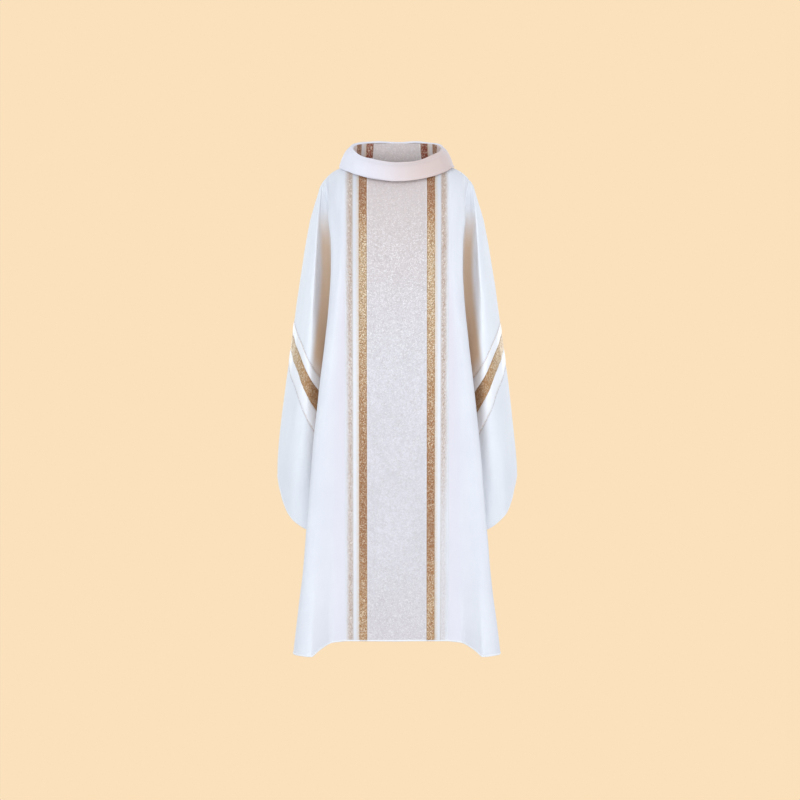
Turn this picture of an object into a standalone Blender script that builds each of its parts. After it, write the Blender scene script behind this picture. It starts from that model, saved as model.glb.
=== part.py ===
"""Gothic chasuble with a rolled collar, shown as it hangs from the shoulders.

Metres, +Z up. The origin is on the floor plane under the middle of the garment,
-Y is the front, -X is "left" and +X is "right". Each cloth piece is an open sheet,
mapped from a grid and given its thickness by Solidify. Every column of a sheet
starts on the shoulder ridge or the neckline and runs downwards:

    middle      column panel, gold band, ivory band, beige band (straight lines)
    side panel  from the beige band over the deep side fold to the valley
    sleeve      from the valley to the outer line, crossed by its own bands
"""

import math

import bmesh
import bpy
from mathutils import Vector

HANDS = ((-1, "left"), (1, "right"))

# ------------------------------------------------------------------- cloth
CLOTH = 0.0018          # cloth with its lining
FACING_CLOTH = 0.0012
COLLAR_CLOTH = 0.0022
LINING_CLOTH = 0.0014
SEAM_GAP = 0.0005       # left between pieces that are sewn edge to edge

# ------------------------------------------------- middle panel and its bands
COLUMN_HALF = 0.0770    # half width of the column panel
GOLD_WIDTH = 0.0205
IVORY_WIDTH = 0.0165
BEIGE_WIDTH = 0.0190
X_GOLD = COLUMN_HALF + GOLD_WIDTH
X_IVORY = X_GOLD + IVORY_WIDTH
X_BEIGE = X_IVORY + BEIGE_WIDTH          # where the side panel begins
STRIPS = (("gold_band", COLUMN_HALF, X_GOLD),
          ("ivory_band", X_GOLD, X_IVORY),
          ("beige_band", X_IVORY, X_BEIGE))

# ------------------------------------------------------------ shoulders, hem
SHOULDER_X = 0.190      # the point the sleeve drops from
SHOULDER_Z = 1.223
CAP_Z = 1.12            # below this the cloth hangs, above it it rounds over
RIDGE_STOP = 0.99998    # share of the rise from cap to ridge where the sheets stop
RIDGE_GAP = 0.0020      # least distance between front and back sheet in the cap
SHEET_CAP_SHARE = 0.26  # share of the grid rows spent above CAP_Z
SLEEVE_CAP_SHARE = 0.35
HEM_Z = 0.030           # hem height across the middle
SIDE_HEM_Z = (HEM_Z, 0.025, 0.002, 0.0001, 0.010, 0.025, 0.040)  # at steps 0 to 6

# ridge of the shoulders: (half width, height)
RIDGE_SIDE = ((0.133, 1.2625), (0.1676, 1.2455), (0.1854, 1.230), (0.1976, 1.2155),
              (0.2043, 1.1997))
RIDGE_FRONT = ((0.0, 1.300), (0.08, 1.287)) + RIDGE_SIDE
RIDGE_BACK = ((0.0, 1.330), (0.08, 1.300)) + RIDGE_SIDE
# half width at which each side step meets the ridge
RIDGE_X = (X_BEIGE, 0.148, 0.163, 0.174, 0.179, 0.184, 0.1875,
           0.191, 0.194, 0.197, 0.1995, 0.202, 0.2043)

# ------------------------------------------- level section: (height, half width)
FOLD_EDGE_X = ((0.0, 0.2635), (0.10, 0.2525), (0.20, 0.242), (0.305, 0.2337),
               (0.425, 0.2235), (0.53, 0.215), (0.63, 0.2048), (0.735, 0.193),
               (0.827, 0.1825), (0.914, 0.1735), (1.00, 0.169), (1.06, 0.170),
               (1.12, 0.176))
OUTER_X = ((0.20, 0.3185), (0.30, 0.3185), (0.4535, 0.317), (0.565, 0.308),
           (0.677, 0.296), (0.804, 0.2785), (0.93, 0.2615), (1.0565, 0.240),
           (1.12, 0.228))
VALLEY_X = ((0.0, 0.236), (0.10, 0.226), (0.20, 0.211), (0.28, 0.196),
            (0.40, 0.183), (0.50, 0.174), (0.65, 0.160), (0.80, 0.152),
            (0.95, 0.150), (1.05, 0.158), (1.12, 0.168))
INNER_X = ((0.28, 0.226), (0.45, 0.222), (0.60, 0.211), (0.70, 0.205),
           (0.80, 0.201), (0.90, 0.203), (1.00, 0.2025), (1.12, 0.196))
CREST_X = ((0.28, 0.252), (0.45, 0.250), (0.60, 0.238), (0.70, 0.230),
           (0.80, 0.2235), (0.90, 0.219), (1.00, 0.2125), (1.12, 0.206))
# distance of the flute inwards from the fold edge: (height, distance)
FLUTE_INSET = ((0.0, 0.045), (0.10, 0.036), (0.25, 0.022), (0.50, 0.017),
               (1.12, 0.017))
RETURN_X = 0.011        # first return point, inwards from the fold edge
RETURN_DEPTH = 0.030    # and nearer the middle plane y = 0
HOLLOW_SHARE = 0.45     # from the band edge to the flute
RETURN_SHARE = 0.55     # second return point, from the first to the valley
INNER_START = (0.5, 0.30)                # shares from valley to inner run: x, depth
FACE_SHARES = ((0.42, 0.86), (0.78, 0.46))  # share to the outer line, of crest depth

# -------------------------------------- the two sheets: (height, distance from y = 0)
VALLEY_DEPTH = ((0.0, 0.105), (0.10, 0.100), (0.20, 0.092), (0.28, 0.082),
                (0.40, 0.062), (0.50, 0.046), (0.65, 0.033), (0.80, 0.027),
                (0.95, 0.026), (1.05, 0.034), (1.12, 0.044))
# "sign" is the direction along Y, "neck" the neckline height at the middle and at X_BEIGE
FRONT = {
    "sign": -1, "ridge": RIDGE_FRONT, "neck": (1.235, 1.2595),
    "middle": ((0.0, 0.153), (0.30, 0.150), (0.60, 0.147), (0.90, 0.143),
               (1.12, 0.137)),
    "band": ((0.0, 0.149), (0.30, 0.148), (0.60, 0.144), (0.90, 0.137),
             (1.12, 0.124)),
    "hollow": ((0.0, 0.146), (0.10, 0.148), (0.30, 0.151), (0.60, 0.1465),
               (0.90, 0.137), (1.12, 0.118)),
    "flute": ((0.0, 0.205), (0.10, 0.185), (0.20, 0.170), (0.30, 0.160),
              (0.45, 0.153), (0.60, 0.148), (0.90, 0.136), (1.12, 0.108)),
    "edge": ((0.0, 0.168), (0.10, 0.160), (0.30, 0.150), (0.60, 0.134),
             (0.90, 0.120), (1.00, 0.112), (1.12, 0.090)),
    "valley": VALLEY_DEPTH,
    "inner": ((0.28, 0.086), (0.45, 0.085), (0.60, 0.080), (0.70, 0.077),
              (0.80, 0.073), (0.90, 0.063), (1.00, 0.056), (1.12, 0.050)),
    "crest": ((0.28, 0.084), (0.45, 0.092), (0.60, 0.096), (0.70, 0.099),
              (0.80, 0.098), (0.90, 0.091), (1.00, 0.080), (1.12, 0.058)),
}
BACK = {
    "sign": 1, "ridge": RIDGE_BACK, "neck": (1.278, 1.2595),
    "middle": ((0.0, 0.150), (0.30, 0.144), (0.60, 0.138), (0.90, 0.131),
               (1.12, 0.119)),
    "band": ((0.0, 0.148), (0.30, 0.144), (0.60, 0.138), (0.90, 0.127),
             (1.12, 0.107)),
    "hollow": ((0.0, 0.146), (0.10, 0.147), (0.30, 0.147), (0.60, 0.141),
               (0.90, 0.129), (1.12, 0.104)),
    "flute": ((0.0, 0.205), (0.10, 0.184), (0.20, 0.168), (0.30, 0.157),
              (0.45, 0.149), (0.60, 0.143), (0.90, 0.129), (1.12, 0.099)),
    "edge": ((0.0, 0.168), (0.10, 0.160), (0.30, 0.148), (0.60, 0.130),
             (0.90, 0.115), (1.00, 0.107), (1.12, 0.086)),
    "valley": VALLEY_DEPTH,
    "inner": ((0.28, 0.084), (0.45, 0.083), (0.60, 0.078), (0.70, 0.075),
              (0.80, 0.071), (0.90, 0.061), (1.00, 0.055), (1.12, 0.049)),
    "crest": ((0.28, 0.082), (0.45, 0.090), (0.60, 0.094), (0.70, 0.096),
              (0.80, 0.095), (0.90, 0.088), (1.00, 0.078), (1.12, 0.057)),
}

# ------------------------------------------------------------------- sleeve
VALLEY_STEP = 6         # side step of the valley, where sleeve steps count from 0
PANEL_LAST = 5.80       # side step where the side panel ends
SLEEVE_FIRST = 0.25     # sleeve steps where the sleeve begins and ends
SLEEVE_LAST = 5.985
SLEEVE_LIFT = 0.0007    # sleeve cloth moved away from the middle plane
LEAST_BAND = 0.02       # height below which a seam inset no longer scales
# rounded free edge: (half width, height)
SLEEVE_EDGE = ((0.17, 0.290), (0.20, 0.300), (0.235, 0.312), (0.261, 0.328),
               (0.285, 0.350), (0.299, 0.374), (0.3086, 0.404),
               (0.3165, 0.437), (0.3185, 0.460))
# band seams, as distances below the shoulder point at the outer line
DROP_UPPER, DROP_GOLD, DROP_LOWER, DROP_CUFF = 0.368, 0.395, 0.437, 0.478
# factor on those distances at sleeve steps 0 to 6, valley to outer line
SLEEVE_STRETCH = (1.50, 1.45, 1.38, 1.28, 1.15, 1.05, 1.0)
# part, material, upper drop (None: ridge), lower drop (None: free edge), rows
SLEEVE_PARTS = (
    ("sleeve_top", "white_cloth", None, DROP_UPPER, 9),
    ("sleeve_ivory_band_upper", "ivory_band", DROP_UPPER, DROP_GOLD, 1),
    ("sleeve_gold_band", "gold_band", DROP_GOLD, DROP_LOWER, 1),
    ("sleeve_ivory_band_lower", "ivory_band", DROP_LOWER, DROP_CUFF, 1),
    ("sleeve_cuff", "white_cloth", DROP_CUFF, None, 6),
)

# ------------------------------------------------------------------- collar
# rings are (half width, half depth), about an axis at y = COLLAR_Y
COLLAR_Y = -0.0115
RIM = (0.1185, 0.0880)
RIM_WAVES = (1.3050, -0.0329, -0.0070)   # height: mean, front to back, twice round
FALL = (0.1490, 0.1180)                  # falling edge
FALL_WAVES = (1.2460, -0.0150, -0.0140)
NECK = (0.1315, 0.0920)
ROLL = 0.0055           # rim's roll to either side, and its drop on the inner side
ROLL_OUTER_DROP = 0.0050
LINING_TOP_DROP = 0.0075
LINING_FOOT_RISE = 0.0035                # lining's foot above the neckline
LINING_BELLY = 0.004
LINING_RADIUS = 0.09    # turns the seam gap into an angle
# seams of the lining, in degrees from the middle of the back
LINING_COLUMN, LINING_GOLD, LINING_IVORY, LINING_BEIGE = 33.4, 45.4, 55.3, 67.5

# ------------------------------------------------- facings, stays and label
HEM_FACING_HALF, HEM_FACING_HEIGHT = 0.128, 0.030
NECK_FACING_HALF, NECK_FACING_HEIGHT = 0.100, 0.034
FACING_SETBACK = 0.0015                  # from the edge of the cloth
HEM_INWARD = 2 * CLOTH
NECK_INWARD = 2.6 * CLOTH
STAY_X = (0.140, 0.176)
STAY_WIDTH, STAY_THICKNESS = 0.010, 0.0012
STAY_DROP = 0.0052                       # below the ridge
LABEL_SIZE = (0.046, 0.0008, 0.026)
LABEL_Z = 1.224
LABEL_FORWARD = 0.0050                   # from the neck facing, towards -Y

# red, green, blue, roughness, metallic
COLOURS = {
    "white_cloth": (0.80, 0.82, 0.86, 0.75, 0.0),
    "column_cloth": (0.72, 0.70, 0.72, 0.55, 0.1),
    "gold_band": (0.52, 0.33, 0.17, 0.40, 0.6),
    "ivory_band": (0.86, 0.84, 0.84, 0.45, 0.0),
    "beige_band": (0.60, 0.50, 0.42, 0.55, 0.2),
    "collar_cloth": (0.80, 0.79, 0.84, 0.75, 0.0),
    "facing_cloth": (0.78, 0.77, 0.76, 0.80, 0.0),
    "label_tape": (0.88, 0.86, 0.80, 0.70, 0.0),
}


# ------------------------------------------------------------------- curves
def mix(start, end, share):
    return start + (end - start) * share


def hermite(start, end, start_slope, end_slope, share):
    square, cube = share ** 2, share ** 3
    return ((2 * cube - 3 * square + 1) * start + (cube - 2 * square + share) * start_slope
            + (-2 * cube + 3 * square) * end + (cube - square) * end_slope)


def split_step(step, count):
    """Index of the interval a step falls in, among count knots, and the share along it."""
    index = min(int(step), count - 2)
    return index, step - index


def along(table, at):
    """Value of a (position, value) table, by a cubic that doesn't overshoot."""
    places, values = zip(*table)
    if at <= places[0]:
        return values[0]
    if at >= places[-1]:
        return values[-1]
    widths = [b - a for a, b in zip(places, places[1:])]
    rates = [(b - a) / width for a, b, width in zip(values, values[1:], widths)]

    def slope(i):
        if i == 0:
            return rates[0]
        if i == len(places) - 1:
            return rates[-1]
        if rates[i - 1] * rates[i] <= 0:
            return 0.0
        before = 2 * widths[i] + widths[i - 1]
        after = widths[i] + 2 * widths[i - 1]
        return (before + after) / (before / rates[i - 1] + after / rates[i])

    i = max(j for j in range(len(places) - 1) if places[j] <= at)
    return hermite(values[i], values[i + 1], slope(i) * widths[i],
                   slope(i + 1) * widths[i], (at - places[i]) / widths[i])


def through_values(values, step):
    """A smooth curve through evenly spaced values, step counted in values."""
    i, share = split_step(step, len(values))
    before = values[max(0, i - 1)]
    start, end = values[i], values[i + 1]
    after = values[min(len(values) - 1, i + 2)]
    return hermite(start, end, (end - before) / 2, (after - start) / 2, share)


def through_points(points, step, start_tangent):
    """A smooth curve through 2-D points, step counted in points.

    Knots are spaced by the root of the distance, so uneven points don't make loops."""
    def spacing(i):
        return math.dist(points[i], points[i + 1]) ** 0.5

    def rate(i, axis):
        return (points[i + 1][axis] - points[i][axis]) / spacing(i)

    def tangent(i, axis):
        if i == 0:
            return start_tangent[axis] / spacing(0)
        if i == len(points) - 1:
            return rate(i - 1, axis)
        before, after = spacing(i - 1), spacing(i)
        return (rate(i - 1, axis) * after + rate(i, axis) * before) / (after + before)

    i, share = split_step(step, len(points))
    return tuple(
        hermite(points[i][axis], points[i + 1][axis], tangent(i, axis) * spacing(i),
                tangent(i + 1, axis) * spacing(i), share)
        for axis in (0, 1))


# ------------------------------------------------------------ hanging sheet
# A column up to X_BEIGE is a straight line at that half width; X_BEIGE + step
# is that step of the side section listed in side_section().
def side_section(sheet, z):
    """(half width, depth) points of a level section, beige band to outer line.

    0 band edge, 1 hollow, 2 flute, 3 fold edge, 4-5 return, 6 valley,
    7-8 sleeve's inner run, 9 sleeve crest, 10-11 sleeve face, 12 outer line."""
    edge_x, edge_depth = along(FOLD_EDGE_X, z), along(sheet["edge"], z)
    valley_x, valley_depth = along(VALLEY_X, z), along(sheet["valley"], z)
    inner_x, inner_depth = along(INNER_X, z), along(sheet["inner"], z)
    crest_x, crest_depth = along(CREST_X, z), along(sheet["crest"], z)
    flute_x = edge_x - along(FLUTE_INSET, z)
    return_x, return_depth = edge_x - RETURN_X, edge_depth - RETURN_DEPTH
    outer_x = along(OUTER_X, z)
    return [
        (X_BEIGE, along(sheet["band"], z)),
        (mix(X_BEIGE, flute_x, HOLLOW_SHARE), along(sheet["hollow"], z)),
        (flute_x, along(sheet["flute"], z)),
        (edge_x, edge_depth),
        (return_x, return_depth),
        (mix(return_x, valley_x, RETURN_SHARE),
         mix(return_depth, valley_depth, RETURN_SHARE)),
        (valley_x, valley_depth),
        (mix(valley_x, inner_x, INNER_START[0]),
         mix(valley_depth, inner_depth, INNER_START[1])),
        (inner_x, inner_depth),
        (crest_x, crest_depth),
        *((mix(crest_x, outer_x, share), depth_share * crest_depth)
          for share, depth_share in FACE_SHARES),
        (outer_x, 0.0),
    ]


def level(sheet, column, z):
    """(half width, depth) of a sheet's column at a height below the cap."""
    points = side_section(sheet, z)
    (band_x, band_depth), (hollow_x, hollow_depth) = points[:2]
    middle_depth = along(sheet["middle"], z)
    slope = (hollow_depth - middle_depth) / hollow_x
    if column <= X_BEIGE:
        return column, hermite(middle_depth, band_depth, 0.0, slope * X_BEIGE,
                               column / X_BEIGE)
    # the side leaves the beige band in the direction the band arrives
    reach = (hollow_x - band_x) / math.hypot(1.0, slope)
    return through_points(points, column - X_BEIGE, (reach, slope * reach))


def ridge_x(column):
    if column <= X_BEIGE:
        return column
    i, share = split_step(column - X_BEIGE, len(RIDGE_X))
    return mix(RIDGE_X[i], RIDGE_X[i + 1], share)


def ridge_z(sheet, column):
    return along(sheet["ridge"], ridge_x(column))


def hang(sheet, column, z):
    """Point of the front or back sheet, on the +X side, at a column and a height."""
    if z <= CAP_Z:
        x, depth = level(sheet, column, z)
        return Vector((x, sheet["sign"] * depth, z))
    cap_x, cap_depth = level(sheet, column, CAP_Z)
    rise = (z - CAP_Z) / (ridge_z(sheet, column) - CAP_Z)
    depth = max(RIDGE_GAP / 2, cap_depth * math.sqrt(1 - rise * rise))
    return Vector((mix(cap_x, ridge_x(column), rise), sheet["sign"] * depth, z))


def neckline_z(sheet, x):
    low, high = sheet["neck"]
    return mix(low, high, (x / X_BEIGE) ** 2)


def hem_z(column):
    if column <= X_BEIGE:
        return HEM_Z
    i, share = split_step(column - X_BEIGE, len(SIDE_HEM_Z))
    return hermite(SIDE_HEM_Z[i], SIDE_HEM_Z[i + 1], 0.0, 0.0, share)


def drop_down(sheet, column, down, bottom, cap_share):
    """down from 0 at the neckline or ridge to 1 at the bottom; even turns in the cap."""
    if down > cap_share:
        share = (down - cap_share) / (1 - cap_share)
        return hang(sheet, column, mix(CAP_Z, bottom, share))
    cap_height = ridge_z(sheet, column) - CAP_Z
    rise = RIDGE_STOP
    if column <= X_BEIGE:
        rise = (neckline_z(sheet, column) - CAP_Z) / cap_height
    turn = math.asin(rise) * (1 - down / cap_share)
    return hang(sheet, column, CAP_Z + cap_height * math.sin(turn))


def sheet_point(sheet, column, down):
    return drop_down(sheet, column, down, hem_z(column), SHEET_CAP_SHARE)


def inside(sheet, x, z, inward):
    """A point of the sheet, moved into the garment."""
    tick = 0.001        # distance to the neighbours that give the normal
    point = hang(sheet, abs(x), z)
    beside = hang(sheet, abs(x) + tick, z)
    below = hang(sheet, abs(x), z - tick)
    normal = (beside - point).cross(below - point).normalized()
    if normal.y * sheet["sign"] > 0:
        normal = -normal
    point = point + normal * inward
    return Vector((math.copysign(point.x, x), point.y, point.z))


# ------------------------------------------------------------ sleeve surface
def band_z(drop, step):
    """Height of a line woven across the sleeve, at a sleeve step."""
    return SHOULDER_Z - drop * through_values(SLEEVE_STRETCH, step)


def free_edge_z(sheet, column):
    """Height where a column meets the free edge, found by repeated substitution."""
    z = 0.3
    for _ in range(12):
        z = along(SLEEVE_EDGE, level(sheet, column, z)[0])
    return z


def sleeve_point(sheet, step, upper, lower, down):
    """upper and lower are a drop, or None for the ridge and the free edge."""
    column = X_BEIGE + VALLEY_STEP + step
    if upper is None:
        bottom = band_z(lower, step) + 2 * SEAM_GAP
        return drop_down(sheet, column, down, bottom, SLEEVE_CAP_SHARE)
    top = band_z(upper, step)
    bottom = free_edge_z(sheet, column) if lower is None else band_z(lower, step)
    inset = 2 * SEAM_GAP / max(LEAST_BAND, top - bottom)
    end = 1.0 if lower is None else 1 - inset
    return hang(sheet, column, mix(top, bottom, mix(inset, end, down)))


# ----------------------------------------------------------- collar surfaces
def ring_height(waves, angle):
    return waves[0] + waves[1] * math.cos(angle) + waves[2] * math.cos(2 * angle)


def ring(size, z, angle):
    """Point of an oval ring; angle 0 is the front and 90 degrees is +X."""
    return Vector((size[0] * math.sin(angle), COLLAR_Y - size[1] * math.cos(angle), z))


def collar_outer(angle, up):
    """up from 0 at the falling edge, over the rolled rim, to 1 on its inner side."""
    rim, fall = ring_height(RIM_WAVES, angle), ring_height(FALL_WAVES, angle)
    rows = (     # half width, half depth, height
        (*FALL, fall),
        (mix(FALL[0], RIM[0], 0.30), mix(FALL[1], RIM[1], 0.28), mix(fall, rim, 0.36)),
        (mix(FALL[0], RIM[0], 0.62), mix(FALL[1], RIM[1], 0.60), mix(fall, rim, 0.72)),
        (RIM[0] + ROLL, RIM[1] + ROLL, rim - ROLL_OUTER_DROP),
        (*RIM, rim),
        (RIM[0] - ROLL, RIM[1] - ROLL, rim - ROLL),
    )
    step = up * (len(rows) - 1)
    width, depth, z = (through_values(values, step) for values in zip(*rows))
    return ring((width, depth), z, angle)


def collar_lining(angle, down):
    """down from 0 under the rim to 1 at the neckline seam."""
    rim = ring_height(RIM_WAVES, angle)
    top = ring((RIM[0] - ROLL, RIM[1] - ROLL), rim - LINING_TOP_DROP, angle)
    sheet = FRONT if math.cos(angle) > 0 else BACK
    foot_z = neckline_z(sheet, abs(math.sin(angle)) * X_BEIGE) + LINING_FOOT_RISE
    foot = ring(NECK, foot_z, angle)
    outward = Vector((math.sin(angle), -math.cos(angle), 0))
    return top.lerp(foot, down) - outward * LINING_BELLY * math.sin(math.pi * down)


# -------------------------------------------------------- scene and helpers
def make_material(name):
    red, green, blue, roughness, metallic = COLOURS[name]
    material = bpy.data.materials.new(name)
    material.use_nodes = True
    shader = material.node_tree.nodes["Principled BSDF"]
    shader.inputs["Base Color"].default_value = (red, green, blue, 1)
    shader.inputs["Roughness"].default_value = roughness
    shader.inputs["Metallic"].default_value = metallic
    material.diffuse_color = (red, green, blue, 1)
    return material


for old in list(bpy.data.objects):
    bpy.data.objects.remove(old, do_unlink=True)
garment = bpy.data.collections.new("chasuble")
bpy.context.scene.collection.children.link(garment)
materials = {name: make_material(name) for name in COLOURS}


def add_object(name, material, bm):
    mesh = bpy.data.meshes.new(name)
    bm.to_mesh(mesh)
    bm.free()
    mesh.materials.append(materials[material])
    piece = bpy.data.objects.new(name, mesh)
    garment.objects.link(piece)
    return piece


def cloth_piece(name, material, columns, rows, place, joined=False,
                thickness=CLOTH, pivot=None):
    """A sheet mapped from a grid: place(across, down), both from 0 to 1."""
    bm = bmesh.new()
    bmesh.ops.create_grid(bm, x_segments=columns, y_segments=rows, size=1.0)
    for vert in bm.verts:
        vert.co = place((vert.co.x + 1) / 2, (vert.co.y + 1) / 2)
    if joined:
        bmesh.ops.remove_doubles(bm, verts=bm.verts[:], dist=1e-5)
    bmesh.ops.recalc_face_normals(bm, faces=bm.faces[:])
    piece = add_object(name, material, bm)
    piece.data.shade_smooth()
    if pivot is not None:
        piece.parent = pivot
        piece.matrix_parent_inverse = pivot.matrix_world.inverted()
    solidify = piece.modifiers.new("cloth", "SOLIDIFY")
    solidify.thickness = thickness
    solidify.offset = 0.0
    solidify.use_even_offset = False


def box_piece(name, material, size, location, tilt=(0, 0, 0)):
    bm = bmesh.new()
    bmesh.ops.create_cube(bm, size=1.0)
    bmesh.ops.scale(bm, vec=size, verts=bm.verts[:])
    piece = add_object(name, material, bm)
    piece.location = location
    piece.rotation_euler = tilt


def on_hand(point, hand):
    """A +X side point, on the side asked for."""
    return Vector((hand * point.x, point.y, point.z))


# ------------------------------------------------------------------- pieces
def build_column_panel(label, sheet):
    half = COLUMN_HALF - SEAM_GAP / 2

    def place(across, down):
        x = mix(-half, half, across)
        point = sheet_point(sheet, abs(x), down)
        return Vector((x, point.y, point.z))

    cloth_piece(f"{label}_column_panel", "column_cloth", 4, 15, place)


def build_bands(label, sheet, hand, where):
    for band, inner, outer in STRIPS:
        def place(across, down):
            x = mix(inner + SEAM_GAP / 2, outer - SEAM_GAP / 2, across)
            return on_hand(sheet_point(sheet, x, down), hand)

        cloth_piece(f"{label}_{band}_{where}", band, 1, 15, place)


def build_side_panel(label, sheet, hand, where):
    def place(across, down):
        point = sheet_point(sheet, X_BEIGE + PANEL_LAST * across, down)
        point.x = max(point.x, X_BEIGE + 1.5 * SEAM_GAP)
        return on_hand(point, hand)

    cloth_piece(f"{label}_side_panel_{where}", "white_cloth", 12, 16, place)


def build_sleeve(label, sheet, hand, where, pivot):
    """The sleeve's half on one sheet."""
    lift = Vector((0, sheet["sign"] * SLEEVE_LIFT, 0))
    for part, material, upper, lower, rows in SLEEVE_PARTS:
        def place(across, down):
            step = mix(SLEEVE_FIRST, SLEEVE_LAST, across)
            return on_hand(sleeve_point(sheet, step, upper, lower, down) + lift, hand)

        cloth_piece(f"{where}_{part}_{label}", material, 8, rows, place, pivot=pivot)


def build_facings(label, sheet):
    def hem(across, up):
        x = mix(-HEM_FACING_HALF, HEM_FACING_HALF, across)
        return inside(sheet, x, HEM_Z + FACING_SETBACK + up * HEM_FACING_HEIGHT, HEM_INWARD)

    def neck(across, down):
        x = mix(-NECK_FACING_HALF, NECK_FACING_HALF, across)
        top = neckline_z(sheet, abs(x)) - FACING_SETBACK
        return inside(sheet, x, top - down * NECK_FACING_HEIGHT, NECK_INWARD)

    cloth_piece(f"{label}_hem_facing", "facing_cloth", 8, 1, hem, thickness=FACING_CLOTH)
    cloth_piece(f"{label}_neck_facing", "facing_cloth", 10, 3, neck,
                thickness=FACING_CLOTH)


def build_lining(name, material, start, end, columns, hand=-1):
    """Lining between two angles from the middle of the back, towards one hand."""
    gap = math.degrees(SEAM_GAP / 2 / LINING_RADIUS)

    def place(across, down):
        turn = mix(start + gap, end - gap, across)
        return collar_lining(math.radians(180 - hand * turn), down)

    cloth_piece(f"collar_lining_{name}", material, columns, 3, place,
                thickness=LINING_CLOTH)


def build_collar():
    cloth_piece("collar_outer", "collar_cloth", 40, 7,
                lambda across, up: collar_outer(2 * math.pi * across, up),
                joined=True, thickness=COLLAR_CLOTH)
    build_lining("back", "column_cloth", -LINING_COLUMN, LINING_COLUMN, 8)
    for colour, start, end in (("gold", LINING_COLUMN, LINING_GOLD),
                               ("ivory", LINING_GOLD, LINING_IVORY),
                               ("beige", LINING_IVORY, LINING_BEIGE)):
        for hand, where in HANDS:
            build_lining(f"{colour}_{where}", f"{colour}_band", start, end, 2, hand)
    build_lining("front", "collar_cloth", LINING_BEIGE, 360 - LINING_BEIGE, 20)


def build_shoulder_stay(hand, where):
    """Tape under a shoulder seam: what the garment rests on."""
    inner, outer = STAY_X
    inner_z, outer_z = along(RIDGE_FRONT, inner), along(RIDGE_FRONT, outer)
    slope = math.atan2(outer_z - inner_z, outer - inner)
    box_piece(f"shoulder_stay_{where}", "facing_cloth",
              (outer - inner, STAY_WIDTH, STAY_THICKNESS),
              (hand * (inner + outer) / 2, 0.0, (inner_z + outer_z) / 2 - STAY_DROP),
              (0, -hand * slope, 0))


def build_label():
    """Size label, in front of the back neck facing."""
    half = LABEL_SIZE[2] / 2
    facing_y = min(inside(BACK, 0.0, z, NECK_INWARD).y
                   for z in (LABEL_Z - half, LABEL_Z, LABEL_Z + half))
    box_piece("size_label", "label_tape", LABEL_SIZE,
              (0.0, facing_y - LABEL_FORWARD, LABEL_Z))


def make_pivot(hand, where):
    pivot = bpy.data.objects.new(f"{where}_sleeve_pivot", None)
    pivot.location = (hand * SHOULDER_X, 0.0, SHOULDER_Z)
    garment.objects.link(pivot)
    return pivot


pivots = {where: make_pivot(hand, where) for hand, where in HANDS}
bpy.context.view_layer.update()          # the sleeves read the pivots' world matrices

for label, sheet in (("front", FRONT), ("back", BACK)):
    build_column_panel(label, sheet)
    build_facings(label, sheet)
    for hand, where in HANDS:
        build_bands(label, sheet, hand, where)
        build_side_panel(label, sheet, hand, where)
        build_sleeve(label, sheet, hand, where, pivots[where])
build_collar()
for hand, where in HANDS:
    build_shoulder_stay(hand, where)
build_label()
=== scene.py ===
"""A chasuble with a brocade column, gold, ivory and beige bands, short sleeves and a rolled collar.

It hangs upright, +Z up, with its middle on the X = 0 plane: the front towards -Y, the back
towards +Y, and "left" at -X. Each cloth is a fine closed shell laid on the same hanging surface
as the CAD sheets. The ribbons lie about half a millimetre proud of the cloth below them.
"""

import math

import bpy
import numpy as np
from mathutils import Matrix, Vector


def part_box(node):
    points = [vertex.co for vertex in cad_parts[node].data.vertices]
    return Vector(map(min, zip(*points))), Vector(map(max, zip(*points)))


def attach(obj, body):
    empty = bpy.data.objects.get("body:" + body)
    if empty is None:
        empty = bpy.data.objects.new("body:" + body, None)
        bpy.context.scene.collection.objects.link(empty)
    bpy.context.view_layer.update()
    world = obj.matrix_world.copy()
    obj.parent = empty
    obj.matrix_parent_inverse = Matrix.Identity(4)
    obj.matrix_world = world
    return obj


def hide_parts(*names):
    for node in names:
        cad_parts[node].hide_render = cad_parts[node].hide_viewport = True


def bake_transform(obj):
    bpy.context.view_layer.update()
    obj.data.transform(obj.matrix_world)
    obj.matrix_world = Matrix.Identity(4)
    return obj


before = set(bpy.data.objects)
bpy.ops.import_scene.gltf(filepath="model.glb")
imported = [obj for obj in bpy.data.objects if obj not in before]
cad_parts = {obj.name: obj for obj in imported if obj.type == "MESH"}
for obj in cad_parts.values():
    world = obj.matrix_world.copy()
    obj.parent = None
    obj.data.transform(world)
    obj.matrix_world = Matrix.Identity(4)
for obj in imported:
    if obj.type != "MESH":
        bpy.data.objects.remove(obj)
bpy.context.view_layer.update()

SIDES = ((-1, "left"), (1, "right"))

# ------------------------------------------------------------------ the hanging surface
# A column of the surface is its half width as far as X_BEIGE. Beyond that it is X_BEIGE plus a
# station from 0 to 12 of the level section: 3 is the side fold's edge, 6 the valley behind it,
# 9 the sleeve's crest and 12 its outer line.
COLUMN_HALF, X_GOLD, X_IVORY, X_BEIGE = 0.0770, 0.0975, 0.1140, 0.1330  # outer edges of the bands
SEAM_X = 0.0865            # where column and side cloth meet, under the gold band
SLEEVE_START = X_BEIGE + 6
CAP_Z = 1.12               # above this the sections close up to the ridge
SHOULDER_Z = 1.223

# Ridge line: half width, height
RIDGE_SIDE = ((0.133, 1.2625), (0.1676, 1.2455), (0.1854, 1.230), (0.1976, 1.2155),
              (0.2043, 1.1997))
RIDGE_FRONT = ((0.0, 1.300), (0.08, 1.287)) + RIDGE_SIDE
RIDGE_BACK = ((0.0, 1.330), (0.08, 1.300)) + RIDGE_SIDE
# Half width on the ridge of stations 0 to 12
RIDGE_X = (0.133, 0.148, 0.163, 0.174, 0.179, 0.184, 0.1875,
           0.191, 0.194, 0.197, 0.1995, 0.202, 0.2043)

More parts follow.
